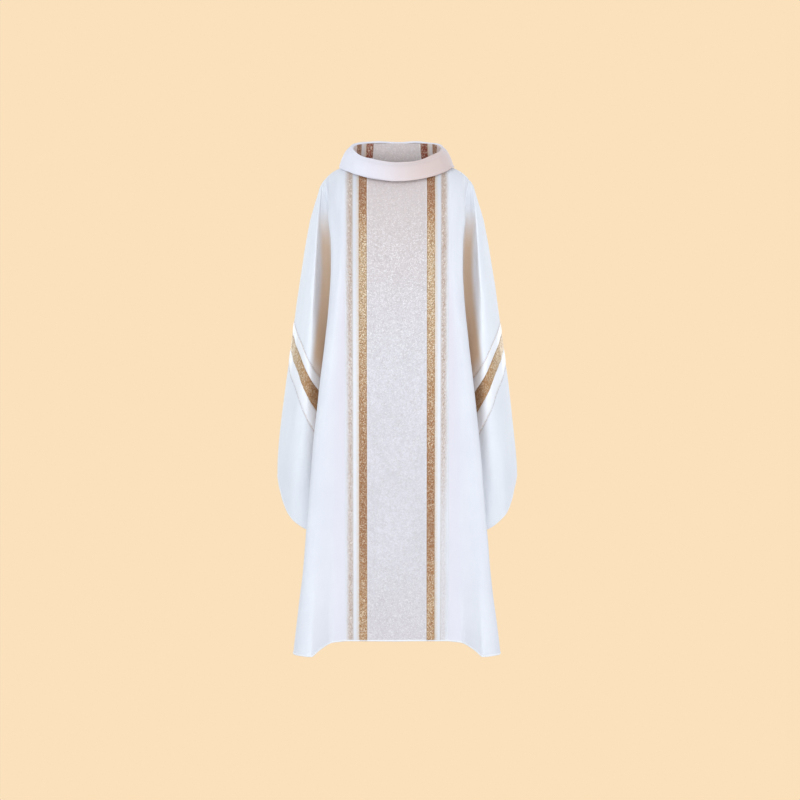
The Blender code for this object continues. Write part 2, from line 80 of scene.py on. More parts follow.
# Heights at which each line of the section is measured
HEIGHTS = {
    "middle": (0.0, 0.30, 0.60, 0.90, 1.12),
    "band": (0.0, 0.30, 0.60, 0.90, 1.12),
    "hollow": (0.0, 0.10, 0.30, 0.60, 0.90, 1.12),
    "flute": (0.0, 0.10, 0.20, 0.30, 0.45, 0.60, 0.90, 1.12),
    "edge": (0.0, 0.10, 0.30, 0.60, 0.90, 1.00, 1.12),
    "valley": (0.0, 0.10, 0.20, 0.28, 0.40, 0.50, 0.65, 0.80, 0.95, 1.05, 1.12),
    "inner": (0.28, 0.45, 0.60, 0.70, 0.80, 0.90, 1.00, 1.12),
    "crest": (0.28, 0.45, 0.60, 0.70, 0.80, 0.90, 1.00, 1.12),
}


def at_heights(line, values):
    return tuple(zip(HEIGHTS[line], values))


# Half widths: height, X
FOLD_EDGE = ((0.0, 0.2635), (0.10, 0.2525), (0.20, 0.242), (0.305, 0.2337),
             (0.425, 0.2235), (0.53, 0.215), (0.63, 0.2048), (0.735, 0.193),
             (0.827, 0.1825), (0.914, 0.1735), (1.00, 0.169), (1.06, 0.170),
             (1.12, 0.176))
OUTER = ((0.20, 0.3185), (0.30, 0.3185), (0.4535, 0.317), (0.565, 0.308),
         (0.677, 0.296), (0.804, 0.2785), (0.93, 0.2615), (1.0565, 0.240),
         (1.12, 0.228))
VALLEY_X = at_heights("valley", (0.236, 0.226, 0.211, 0.196, 0.183, 0.174, 0.160, 0.152,
                                 0.150, 0.158, 0.168))
INNER_X = at_heights("inner", (0.226, 0.222, 0.211, 0.205, 0.201, 0.203, 0.2025, 0.196))
CREST_X = at_heights("crest", (0.252, 0.250, 0.238, 0.230, 0.2235, 0.219, 0.2125, 0.206))
# Height, how far the flute lies in from the fold's edge
FLUTE_IN = ((0.0, 0.045), (0.10, 0.036), (0.25, 0.022), (0.50, 0.017), (1.12, 0.017))
# The sleeve's free edge: half width, height
SLEEVE_EDGE = ((0.17, 0.290), (0.20, 0.300), (0.235, 0.312), (0.261, 0.328),
               (0.285, 0.350), (0.299, 0.374), (0.3086, 0.404),
               (0.3165, 0.437), (0.3185, 0.460))


def make_sheet(sign, seed, ridge, neck, **depths):
    """The front or back sheet: its side in Y, noise seed, ridge, neckline and depths by line."""
    tables = {line: at_heights(line, values) for line, values in depths.items()}
    return {"sign": sign, "seed": seed, "ridge": ridge, "neck": neck, **tables}


VALLEY_Y = (0.105, 0.100, 0.092, 0.082, 0.062, 0.046, 0.033, 0.027, 0.026, 0.034, 0.044)
FRONT = make_sheet(
    sign=-1, seed=3, ridge=RIDGE_FRONT, neck=(1.235, 1.2595),
    middle=(0.153, 0.150, 0.147, 0.143, 0.137),
    band=(0.149, 0.148, 0.144, 0.137, 0.124),
    hollow=(0.146, 0.148, 0.151, 0.1465, 0.137, 0.118),
    flute=(0.205, 0.185, 0.170, 0.160, 0.153, 0.148, 0.136, 0.108),
    edge=(0.168, 0.160, 0.150, 0.134, 0.120, 0.112, 0.090),
    valley=VALLEY_Y,
    inner=(0.086, 0.085, 0.080, 0.077, 0.073, 0.063, 0.056, 0.050),
    crest=(0.084, 0.092, 0.096, 0.099, 0.098, 0.091, 0.080, 0.058))
BACK = make_sheet(
    sign=1, seed=11, ridge=RIDGE_BACK, neck=(1.278, 1.2595),
    middle=(0.150, 0.144, 0.138, 0.131, 0.119),
    band=(0.148, 0.144, 0.138, 0.127, 0.107),
    hollow=(0.146, 0.147, 0.147, 0.141, 0.129, 0.104),
    flute=(0.205, 0.184, 0.168, 0.157, 0.149, 0.143, 0.129, 0.099),
    edge=(0.168, 0.160, 0.148, 0.130, 0.115, 0.107, 0.086),
    valley=VALLEY_Y,
    inner=(0.084, 0.083, 0.078, 0.075, 0.071, 0.061, 0.055, 0.049),
    crest=(0.082, 0.090, 0.094, 0.096, 0.095, 0.088, 0.078, 0.057))
SHEETS = (("front", FRONT), ("back", BACK))


def mix(a, b, share):
    return a + (b - a) * share


def smooth(share):
    share = np.clip(share, 0.0, 1.0)
    return share * share * (3 - 2 * share)


def bell(value, centre, width):
    return np.exp(-(((value - centre) / width) ** 2))


def hermite(start, end, start_slope, end_slope, share):
    square, cube = share * share, share * share * share
    return ((2 * cube - 3 * square + 1) * start + (cube - 2 * square + share) * start_slope
            + (-2 * cube + 3 * square) * end + (cube - square) * end_slope)


def along(table, at):
    """A table's value by a cubic that doesn't overshoot, for a number or an array."""
    xs, ys = np.array(table).T
    gap = np.diff(xs)
    rate = np.diff(ys) / gap
    slope = np.empty(len(xs))
    slope[0], slope[-1] = rate[0], rate[-1]
    for k in range(1, len(xs) - 1):
        if rate[k - 1] * rate[k] <= 0:
            slope[k] = 0.0
        else:
            before, after = 2 * gap[k] + gap[k - 1], gap[k] + 2 * gap[k - 1]
            slope[k] = (before + after) / (before / rate[k - 1] + after / rate[k])
    at = np.clip(at, xs[0], xs[-1])
    k = np.clip(np.searchsorted(xs, at, side="right") - 1, 0, len(xs) - 2)
    share = (at - xs[k]) / gap[k]
    return hermite(ys[k], ys[k + 1], slope[k] * gap[k], slope[k + 1] * gap[k], share)


def unit(vectors):
    return vectors / np.maximum(np.linalg.norm(vectors, axis=-1, keepdims=True), 1e-12)


def run_length(points):
    """Distance covered along the first axis."""
    step = np.linalg.norm(np.diff(points, axis=0), axis=-1)
    return np.concatenate([np.zeros((1,) + step.shape[1:]), np.cumsum(step, 0)])


def side_of(signed):
    return np.where(signed < 0, -1.0, 1.0)


def level_points(sheet, z):
    """Stations 0 to 12 of the level sections at heights z: (N, 13, 2)."""
    edge_x, edge_y = along(FOLD_EDGE, z), along(sheet["edge"], z)
    valley_x, valley_y = along(VALLEY_X, z), along(sheet["valley"], z)
    inner_x, inner_y = along(INNER_X, z), along(sheet["inner"], z)
    crest_x, crest_y = along(CREST_X, z), along(sheet["crest"], z)
    outer = along(OUTER, z)
    flute_x = edge_x - along(FLUTE_IN, z)
    tucked_x, tucked_y = edge_x - 0.011, edge_y - 0.030     # just behind the fold's edge
    ones = np.ones_like(z)
    stations = [
        (X_BEIGE * ones, along(sheet["band"], z)),
        (mix(X_BEIGE, flute_x, 0.45), along(sheet["hollow"], z)),
        (flute_x, along(sheet["flute"], z)),
        (edge_x, edge_y),
        (tucked_x, tucked_y),
        (mix(tucked_x, valley_x, 0.55), mix(tucked_y, valley_y, 0.55)),
        (valley_x, valley_y),
        (mix(valley_x, inner_x, 0.5), mix(valley_y, inner_y, 0.30)),
        (inner_x, inner_y),
        (crest_x, crest_y),
        (mix(crest_x, outer, 0.46), 0.80 * crest_y),
        (mix(crest_x, outer, 0.86), 0.36 * crest_y),
        (outer, 0.0 * ones),
    ]
    return np.stack([np.stack(station, -1) for station in stations], 1)


def level(sheet, column, z):
    """(half width, depth) at columns and heights, both flat arrays."""
    points = level_points(sheet, z)
    middle = along(sheet["middle"], z)
    slope = (points[:, 1, 1] - middle) / points[:, 1, 0]
    flat_depth = hermite(middle, points[:, 0, 1], 0.0, slope * X_BEIGE,
                         np.clip(column / X_BEIGE, 0, 1))
    station = np.clip(column - X_BEIGE, 0.0, 12.0 - 1e-9)
    k = station.astype(int)
    share = (station - k)[:, None]
    # a centripetal curve through the stations
    chord = np.maximum(np.linalg.norm(np.diff(points, axis=1), axis=2) ** 0.5, 1e-6)
    rate = np.diff(points, axis=1) / chord[:, :, None]
    tangent = np.empty_like(points)
    first = (points[:, 1, 0] - points[:, 0, 0]) / np.sqrt(1 + slope ** 2) / chord[:, 0] ** 2
    tangent[:, 0] = np.stack([first, first * slope], -1) * chord[:, :1]
    # the sleeve's outer line is a soft fold: the sheets meet there square to the middle plane
    tangent[:, -1, 0] = 0.0
    tangent[:, -1, 1] = 1.25 * rate[:, -1, 1]
    before, after = chord[:, :-1, None], chord[:, 1:, None]
    tangent[:, 1:-1] = (rate[:, :-1] * after + rate[:, 1:] * before) / (before + after)
    each = np.arange(len(station))
    span = chord[each, k][:, None]
    side = hermite(points[each, k], points[each, k + 1], tangent[each, k] * span,
                   tangent[each, k + 1] * span, share)
    in_middle = column <= X_BEIGE
    return np.where(in_middle, column, side[:, 0]), np.where(in_middle, flat_depth, side[:, 1])


def ridge_x(column):
    station = np.clip(column - X_BEIGE, 0, 12)
    return np.where(column <= X_BEIGE, column, np.interp(station, range(13), RIDGE_X))


def hang(sheet, column, z):
    """Points (..., 3) of the front or back sheet, on the +X side."""
    column, z = np.broadcast_arrays(np.asarray(column, float), np.asarray(z, float))
    shape = column.shape
    column, z = column.ravel(), z.ravel()
    x, depth = level(sheet, column, z)
    top_x = ridge_x(column)
    top_z = along(sheet["ridge"], top_x)
    rise = np.clip((z - CAP_Z) / (top_z - CAP_Z), 0, 1)
    x = mix(x, top_x, rise)
    y = depth * np.sqrt(np.clip(1 - rise * rise, 0, 1))
    return np.stack([x, sheet["sign"] * y, z], -1).reshape(shape + (3,))


def hang_signed(sheet, signed, z):
    """Points of a sheet on either side: signed columns are negative at -X."""
    points = hang(sheet, np.abs(signed), z)
    points[..., 0] *= side_of(signed)
    return points


def neckline_z(sheet, x):
    low, high = sheet["neck"]
    return mix(low, high, np.clip(x / X_BEIGE, 0, 1) ** 2)


def cad_columns(node, sheet, columns):
    """Heights where a CAD node starts and ends, top and bottom, at columns of the sheet."""
    corners = np.array([v.co[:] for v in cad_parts[node].data.vertices])
    corners = np.unique(corners.round(5), axis=0)
    corners[:, 0] = np.abs(corners[:, 0])
    column, z = np.meshgrid(columns, corners[:, 2])
    away = np.linalg.norm(hang(sheet, column, z)[..., :2] - corners[:, None, :2], axis=2)
    nearest = np.argmin(away, 1)
    top, bottom = [], []
    for k in range(len(columns)):
        z = np.sort(corners[nearest == k, 2])
        top.append(z[z > z[-1] - 0.003].mean())
        bottom.append(z[z < z[0] + 0.003].mean())
    return np.array(top), np.array(bottom)


# the hem, from the CAD panels: level across the middle, then round the side folds
HEM_MIDDLE = float(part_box("front_column_panel")[0][2])
HEM_STATIONS = np.linspace(0, 5.8, 13)
HEM_TABLE = list(zip(HEM_STATIONS, cad_columns("front_side_panel_left", FRONT,
                                               X_BEIGE + HEM_STATIONS)[1]))


def hem_at(size):
    """Hem heights at columns, the same on both sides."""
    return np.where(size <= X_BEIGE, HEM_MIDDLE, along(HEM_TABLE, size - X_BEIGE))


CAP_SHARE = 0.26           # share of a column's rows that lie above CAP_Z


def drop_z(sheet, column, down):
    """Height at down, from 0 at the top of a column to 1 at the hem."""
    crown_z = along(sheet["ridge"], ridge_x(column))
    top = np.where(column <= X_BEIGE, neckline_z(sheet, column), crown_z)
    top_angle = np.arcsin(np.clip((top - CAP_Z) / (crown_z - CAP_Z), 0, 1))
    in_cap = CAP_Z + (crown_z - CAP_Z) * np.sin(top_angle * (1 - down / CAP_SHARE))
    below = mix(CAP_Z, hem_at(column), (down - CAP_SHARE) / (1 - CAP_SHARE))
    return np.where(down <= CAP_SHARE, in_cap, below)


def sleeve_bottom_z(sheet, station):
    """Height of the sleeve's free edge, by repeated approach."""
    z = np.full_like(station, 0.3)
    for _ in range(14):
        z = along(SLEEVE_EDGE, level(sheet, SLEEVE_START + station, z)[0])
    return z


# ------------------------------------------------------------------ soft relief
def lattice(column, row, seed):
    """Repeatable values from -1 to 1 on a lattice."""
    code = (column * 374761393 + row * 668265263 + seed * 1442695041) & 0xFFFFFFFF
    code = ((code ^ (code >> 13)) * 1274126177) & 0xFFFFFFFF
    code = code ^ (code >> 16)
    return (code & 0xFFFF) / 32767.5 - 1.0


def soft_noise(x, y, seed):
    column, row = np.floor(x).astype(np.int64), np.floor(y).astype(np.int64)
    x, y = x - column, y - row
    x_share = x * x * x * (x * (x * 6 - 15) + 10)
    y_share = y * y * y * (y * (y * 6 - 15) + 10)
    low = mix(lattice(column, row, seed), lattice(column + 1, row, seed), x_share)
    high = mix(lattice(column, row + 1, seed), lattice(column + 1, row + 1, seed), x_share)
    return mix(low, high, y_share)


def folds(across, z, seed, height, width, length, shift=(0.0, 0.0)):
    """Noise folds of a height, with a width and length for each lattice cell."""
    return height * soft_noise(across / width + shift[0], z / length + shift[1], seed)


FOOT = 0.190               # where the lowest part of the panel is drawn in, across the cloth


def panel_relief(sheet, across, z):
    """How far the cloth stands out along its normal: long soft folds, and smaller ones.
    across is the signed distance from the middle line, measured along the cloth."""
    seed = sheet["seed"]
    down = np.clip((1.15 - z) / 1.1, 0, 1)
    out = down * folds(across, z, seed, height=0.0022, width=0.085, length=0.55, shift=(7.3, 0))
    out = out + (0.4 + 0.6 * down) * folds(across, z, seed + 1, height=0.0011, width=0.045,
                                           length=0.30, shift=(0, 3.0))
    out = out + folds(across, z, seed + 2, height=0.0005, width=0.020, length=0.07)
    # a groove and two swells that deepen towards the hem
    size = np.abs(across)
    low = smooth((0.34 - z) / 0.34) ** 1.3
    out = out - 0.0060 * low * bell(size, centre=FOOT, width=0.013)
    out = out + 0.0045 * low * bell(size, centre=FOOT + 0.036, width=0.020)
    return out + 0.0025 * smooth((0.5 - z) / 0.5) * bell(size, centre=0.155, width=0.014)


SLEEVE_SEED = {-1: 23, 1: 28}


def sleeve_relief(hand, across, z):
    seed = SLEEVE_SEED[hand]
    down = np.clip((1.2 - z) / 0.7, 0, 1)
    out = down * folds(across, z, seed, height=0.0030, width=0.060, length=0.45)
    out = out + folds(across, z, seed + 1, height=0.0012, width=0.030, length=0.16,
                      shift=(0, across / 0.05))
    return out + folds(across, z, seed + 2, height=0.0005, width=0.015, length=0.05)


# ------------------------------------------------------------------ shells from grids
looks = bpy.data.collections.new("looks")
bpy.context.scene.collection.children.link(looks)
PLAIN = {"deep": 0, "warm_shade": 0, "painted_highlight": 0, "edge": 0}


def grid_normals(points, closed=False):
    """Normals of a (rows, columns, 3) grid, by central differences."""
    if closed:
        across = np.roll(points, -1, 1) - np.roll(points, 1, 1)
    else:
        across = np.gradient(points, axis=1)
    return unit(np.cross(across, np.gradient(points, axis=0)))


def refine_normals(points, normals, closed=False):
    """Normals of the relief surface, turned the way the bare ones face."""
    fine = grid_normals(points, closed)
    facing = np.einsum("rci,rci->rc", fine, normals)
    return fine * side_of(facing)[..., None]


def look(name, mesh):
    """Finish a mesh and put it among the looks."""
    mesh.update()
    mesh.validate()
    mesh.shade_smooth()
    ob = bpy.data.objects.new(name, mesh)
    looks.objects.link(ob)
    return ob


def shell(name, outer, normals, thickness, materials, uv, attributes=None, closed=False):
    """A closed cloth shell: outer face on the grid, inner face thickness below it, and a rounded
    edge. materials: outer, inner, and optionally the edge. closed joins the last column to the
    first. Attributes are grids or single numbers."""
    rows, columns = outer.shape[:2]
    count = rows * columns
    flat, flat_normals = outer.reshape(-1, 3), normals.reshape(-1, 3)
    ids = np.arange(count).reshape(rows, columns)
    beside = np.roll(ids, -1, 1)
    front = np.stack([ids[:-1], beside[:-1], beside[1:], ids[1:]], -1)
    front = (front if closed else front[:, :-1]).reshape(-1, 4)
    # turn the faces so that the outer ones face along the normals
    first, second, third = (flat[front[:, k]] for k in range(3))
    facing = np.einsum("ij,ij->i", np.cross(second - first, third - first),
                       flat_normals[front[:, 0]])
    if facing.sum() < 0:
        front = front[:, ::-1]
    verts = [flat, (outer - normals * thickness).reshape(-1, 3)]
    faces = [front, front[:, ::-1] + count]
    slots = [np.zeros(len(front), int), np.ones(len(front), int)]
    source = [ids.ravel(), ids.ravel()]

    if closed:
        rims = [ids[0], ids[-1]]
    else:
        rims = [np.concatenate([ids[0], ids[1:, -1], ids[-1, -2::-1], ids[-2:0:-1, 0]])]
    total = 2 * count
    for rim in rims:
        following = np.roll(rim, -1)
        # outward direction in the cloth at the rim
        tangent = flat[following] - flat[np.roll(rim, 1)]
        out = unit(np.cross(tangent, flat_normals[rim]))
        r, c = divmod(rim, columns)
        inside = outer[np.clip(r, 1, rows - 2), c if closed else np.clip(c, 1, columns - 2)]
        out[np.einsum("ij,ij->i", out, flat[rim] - inside) < 0] *= -1
        verts.append(flat[rim] - flat_normals[rim] * (thickness / 2) + out * (thickness * 0.42))
        middle = total + np.arange(len(rim))
        middle_next = np.roll(middle, -1)
        total += len(rim)
        source.append(rim)
        quads = np.concatenate([
            np.stack([rim, following, middle_next, middle], 1),
            np.stack([middle, middle_next, following + count, rim + count], 1)])
        # the rim runs against the outer faces' own edge direction
        if ((front == rim[0]) & (np.roll(front, -1, 1) == following[0])).any():
            quads = quads[:, ::-1]
        faces.append(quads)
        slots.append(np.full(len(quads), len(materials) - 1))

    verts, faces, slots, source = map(np.concatenate, (verts, faces, slots, source))
    mesh = bpy.data.meshes.new(name)
    mesh.vertices.add(len(verts))
    mesh.vertices.foreach_set("co", verts.astype(np.float32).ravel())
    mesh.loops.add(faces.size)
    mesh.loops.foreach_set("vertex_index", faces.astype(np.int32).ravel())
    mesh.polygons.add(len(faces))
    mesh.polygons.foreach_set("loop_start", np.arange(0, faces.size, 4, dtype=np.int32))
    mesh.polygons.foreach_set("material_index", slots.astype(np.int32))
    for material in materials:
        mesh.materials.append(material)
    layer = mesh.uv_layers.new(name="cloth")
    corners = uv.reshape(-1, 2)[source][faces.ravel()]
    layer.data.foreach_set("uv", corners.astype(np.float32).ravel())
    for key, values in (attributes or {}).items():
        values = np.broadcast_to(values, (rows, columns)).reshape(-1)
        attribute = mesh.attributes.new(key, "FLOAT", "POINT")
        attribute.data.foreach_set("value", values[source].astype(np.float32))
    return look(name, mesh)


def keep(ob, slot, *nodes):
    """Tell the frame that a look rides the body, and hide the CAD nodes it replaces. slot is not
    used.
    """
    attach(ob, "body")
    if nodes:
        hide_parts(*nodes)


# ------------------------------------------------------------------ materials
def srgb(r, g, b):
    return tuple(((v / 255) / 12.92 if v / 255 <= 0.04045 else ((v / 255 + 0.055) / 1.055) ** 2.4)
                 for v in (r, g, b)) + (1.0,)


def darker(colour, share):
    return tuple(share * c for c in colour[:3]) + (1,)


class Nodes:
    """Short names for building a material's nodes."""

    def __init__(self, name):
        self.material = bpy.data.materials.new(name)
        self.material.use_nodes = True
        self.tree = self.material.node_tree
        coord = self.new("ShaderNodeUVMap")
        coord.uv_map = "cloth"
        self.uv = coord.outputs["UV"]

    def new(self, kind, **settings):
        node = self.tree.nodes.new(kind)
        for key, value in settings.items():
            setattr(node, key, value)
        return node

    def put(self, socket, value):
        if isinstance(value, bpy.types.NodeSocket):
            self.tree.links.new(value, socket)
        else:
            socket.default_value = value

    def math(self, operation, *values, clamp=False):
        node = self.new("ShaderNodeMath", operation=operation, use_clamp=clamp)
        for k, value in enumerate(values):
            self.put(node.inputs[k], value)
        return node.outputs[0]

    def times(self, a, b, clamp=False):
        return self.math("MULTIPLY", a, b, clamp=clamp)

    def plus(self, a, b, clamp=False):
        return self.math("ADD", a, b, clamp=clamp)

    def off_centre(self, value, amount):
        """A noise value, centred on zero and scaled."""
        return self.times(self.math("SUBTRACT", value, 0.5), amount)

    def scaled(self, across, down):
        node = self.new("ShaderNodeMapping")
        self.put(node.inputs["Vector"], self.uv)
        node.inputs["Scale"].default_value = (across, down, 1.0)
        return node.outputs[0]

    def noise(self, across, down, detail=2.0, rough=0.5):
        """Noise with so many cells to the metre across and down the cloth."""
        vector = self.scaled(across, down)
        node = self.new("ShaderNodeTexNoise")
        self.put(node.inputs["Vector"], vector)
        node.inputs["Scale"].default_value = 1.0
        node.inputs["Detail"].default_value = detail
        node.inputs["Roughness"].default_value = rough
        return node.outputs["Fac"]

    def cells(self, across, down):
        """Small random cells, so many to the metre: three values from 0 to 1."""
        vector = self.scaled(across, down)
        node = self.new("ShaderNodeTexVoronoi", feature="F1")
        self.put(node.inputs["Vector"], vector)
        node.inputs["Scale"].default_value = 1.0
        node.inputs["Randomness"].default_value = 1.0
        pick = self.new("ShaderNodeSeparateColor")
        self.put(pick.inputs[0], node.outputs["Color"])
        return pick.outputs

    def openness(self, distance):
        """1 on open cloth, towards 0 deep in a closed fold, at whatever pose the cloth is in."""
        node = self.new("ShaderNodeAmbientOcclusion", samples=6)
        node.inputs["Distance"].default_value = distance
        return node.outputs["AO"]

    def span(self, value, low, high, to_low=0.0, to_high=1.0):
        """Map low..high to to_low..to_high, held at the ends."""
        node = self.new("ShaderNodeMapRange")
        for k, setting in enumerate((value, low, high, to_low, to_high)):
            self.put(node.inputs[k], setting)
        return node.outputs[0]

    def blend(self, factor, a, b):
        node = self.new("ShaderNodeMix", data_type="RGBA", blend_type="MIX")
        self.put(node.inputs[0], factor)
        self.put(node.inputs[6], a)
        self.put(node.inputs[7], b)
        return node.outputs[2]

    def attribute(self, name):
        return self.new("ShaderNodeAttribute", attribute_name=name).outputs["Fac"]

    def split(self):
        node = self.new("ShaderNodeSeparateXYZ")
        self.put(node.inputs[0], self.uv)
        return node.outputs[0], node.outputs[1]

    def bump(self, height, distance, strength, under=None):
        node = self.new("ShaderNodeBump")
        self.put(node.inputs["Height"], height)
        node.inputs["Distance"].default_value = distance
        node.inputs["Strength"].default_value = strength
        if under is not None:
            self.put(node.inputs["Normal"], under)
        return node.outputs[0]

    def weave(self, pitch):
        """Over-and-under threads: height from 0 to 1."""
        across, down = self.split()
        turns = 2 * math.pi / pitch
        warp = self.math("SINE", self.times(across, turns))
        weft = self.math("SINE", self.times(down, turns))
        return self.plus(self.times(self.times(warp, weft), 0.5), 0.5)

    def finish(self, colour, rough, normal, specular, metallic=0.0, sheen=0.0):
        sockets = self.tree.nodes["Principled BSDF"].inputs
        self.put(sockets["Base Color"], colour)
        self.put(sockets["Roughness"], rough)
        self.put(sockets["Metallic"], metallic)
        self.put(sockets["Sheen Weight"], sheen)
        sockets["Sheen Roughness"].default_value = 0.45
        self.put(sockets["Specular IOR Level"], specular)
        self.put(sockets["Normal"], normal)
        return self.material


def woven_cloth(name, colour, shade, rough=0.75, pitch=0.0011, crease_shade=None, warm_shade=None,
                line=False):
    """Plain woven cloth: fine weave, slubs, cloudy tone, painted tan shade deep in the folds, and a
    painted shade tint set by an attribute.
    """
    speckle_grey, halo_grey = srgb(192, 184, 190), srgb(218, 212, 218)
    mat = Nodes(name)
    cloud = mat.noise(across=9, down=4, detail=3.0, rough=0.55)
    slub = mat.noise(across=420, down=26)
    cross = mat.noise(across=22, down=520)
    base = mat.blend(mat.span(cloud, low=0.35, high=0.65), colour, shade)
    thread = mat.plus(mat.span(slub, low=0.45, high=0.75), mat.span(cross, low=0.45, high=0.75))
    base = mat.blend(mat.times(thread, 0.10), base, darker(shade, share=0.86))
    # painted shade: a darker, warmer tint where the attribute asks for it
    if warm_shade is not None:
        base = mat.blend(mat.attribute("warm_shade"), base, warm_shade)
    if line:
        # grey speckles on a line beside the stripes, and a faint halo outside it
        away = mat.attribute("line")
        pick = mat.cells(across=620, down=620)
        near = mat.times(mat.span(away, low=0.0, high=0.12), mat.span(away, low=0.46, high=0.24),
                         clamp=True)
        speck = mat.times(near, mat.span(pick[0], low=0.15, high=0.70))
        base = mat.blend(mat.times(speck, 0.85), base, speckle_grey)
        halo = mat.times(mat.span(away, low=0.0, high=0.05), mat.span(away, low=1.0, high=0.2),
                         clamp=True)
        halo = mat.times(halo, mat.span(pick[1], low=0.5, high=1.0))
        base = mat.blend(mat.times(halo, 0.40), base, halo_grey)
    # painted shade: the tan tint deep in the folds, where the deep attribute is set and the cloth
    # is closed in
    if crease_shade is not None:
        closed = mat.span(mat.openness(distance=0.10), low=0.90, high=0.45)
        base = mat.blend(mat.times(mat.attribute("deep"), closed), base, crease_shade)
    height = mat.plus(mat.weave(pitch), mat.times(thread, 0.5))
    normal = mat.bump(height, distance=0.00012, strength=0.7)
    wrinkle = mat.noise(across=38, down=11, detail=3.0)
    normal = mat.bump(wrinkle, distance=0.0012, strength=0.30, under=normal)
    return mat.finish(base, rough, normal, sheen=0.25, specular=0.3)


def brocade(name):
    """The column: satin ground with a fine metallic fleck."""
    ground_pale, ground_grey = srgb(223, 220, 227), srgb(215, 212, 218)
    ground_in_shade, mottle_grey = srgb(209, 195, 192), srgb(198, 190, 192)
    fleck_light, fleck_dark = srgb(250, 247, 248), srgb(168, 152, 146)
    selvage_white = srgb(248, 244, 246)
    mat = Nodes(name)
    cloud = mat.noise(across=12, down=6, detail=3.0, rough=0.6)
    mottle = mat.noise(across=150, down=150, detail=3.0, rough=0.62)
    curl = mat.noise(across=75, down=60, detail=1.0)
    pick = mat.cells(across=520, down=520)
    ground = mat.blend(mat.span(cloud, low=0.35, high=0.65), ground_pale, ground_grey)
    # painted shade: the ground darkens towards the shoulder, under the collar, and inside it
    ground = mat.blend(mat.attribute("warm_shade"), ground, ground_in_shade)
    tone = mat.plus(mat.times(mat.span(mottle, low=0.36, high=0.64), 0.6),
                    mat.times(mat.span(curl, low=0.35, high=0.65), 0.4))
    ground = mat.blend(mat.times(tone, 0.55), ground, mottle_grey)
    # painted highlight: the metallic flecks show more where the highlight attribute is high
    strength = mat.span(mat.attribute("painted_highlight"), low=0.0, high=1.0, to_low=0.25, to_high=0.62)
    light = mat.times(mat.span(pick[0], low=0.62, high=0.95), strength)
    dark = mat.times(mat.span(pick[1], low=0.70, high=0.97), mat.times(strength, 0.55))
    colour = mat.blend(light, ground, fleck_light)
    colour = mat.blend(dark, colour, fleck_dark)
    edge = mat.attribute("edge")
    selvage = mat.times(mat.span(edge, low=0.950, high=0.968),
                        mat.span(edge, low=1.004, high=0.995))
    colour = mat.blend(mat.times(selvage, 0.22), colour, selvage_white)
    height = mat.plus(mat.times(pick[2], 0.8), mottle)
    height = mat.plus(height, mat.times(selvage, 1.5))
    normal = mat.bump(height, distance=0.0003, strength=0.8)
    wrinkle = mat.noise(across=40, down=14, detail=3.0)
    normal = mat.bump(wrinkle, distance=0.0010, strength=0.35, under=normal)
    rough = mat.span(light, low=0, high=0.6, to_low=0.6, to_high=0.32)
    return mat.finish(colour, rough, normal, metallic=mat.times(light, 0.2), sheen=0.12,
                      specular=0.4)


def gold_thread(name, base=(186, 136, 88), light=(220, 192, 152), dark=(154, 94, 50)):
    """Ribbed gold: weft ribs of metallic thread, broken into painted glints."""
    rib_pitch = 0.0022
    glint_cream = srgb(252, 238, 212)
    deep = darker(srgb(*dark), share=0.55)
    mat = Nodes(name)
    down = mat.split()[1]
    wave = mat.math("SINE", mat.times(down, 2 * math.pi / rib_pitch))
    rib = mat.plus(mat.times(wave, 0.5), 0.5)
    pick = mat.cells(across=560, down=620)
    clump = mat.noise(across=260, down=200, rough=0.6)
    broad = mat.noise(across=30, down=9, detail=3.0)
    painted_highlight, edge = mat.attribute("painted_highlight"), mat.attribute("edge")
    # painted highlight: the gold lightens where the highlight attribute is high, with a random
    # broad tone
    shine = mat.plus(painted_highlight, mat.off_centre(broad, 0.30))
    tone = mat.blend(mat.span(shine, low=0.0, high=0.5), srgb(*dark), srgb(*base))
    tone = mat.blend(mat.times(mat.span(shine, low=0.45, high=1.0), 0.62), tone, srgb(*light))
    tone = mat.blend(mat.times(mat.span(pick[0], low=0.45, high=0.95), 0.62), tone, deep)
    # painted glints: cream cells, stronger where the painted highlight is
    glint = mat.times(
        mat.span(mat.plus(pick[1], mat.times(clump, 0.5)), low=0.80, high=1.15),
        mat.span(shine, low=0.0, high=0.9, to_low=0.45, to_high=1.0))
    tone = mat.blend(glint, tone, glint_cream)
    tone = mat.blend(mat.times(rib, 0.16), tone, deep)
    # darker at both edges: partly the ribbon's woven edge, partly painted shadow beside the raised
    # edge
    rim = mat.plus(mat.span(edge, low=0.10, high=0.0), mat.span(edge, low=0.93, high=1.0),
                   clamp=True)
    tone = mat.blend(mat.times(rim, 0.45), tone, deep)
    height = mat.plus(rib, mat.times(clump, 0.5))
    height = mat.plus(height, mat.times(pick[2], 0.9))
    normal = mat.bump(height, distance=0.0003, strength=0.9)
    rough = mat.span(glint, low=0, high=0.6, to_low=0.52, to_high=0.28)
    metallic = mat.span(glint, low=0, high=0.6, to_low=0.12, to_high=0.45)
    return mat.finish(tone, rough, normal, metallic=metallic, specular=0.55)


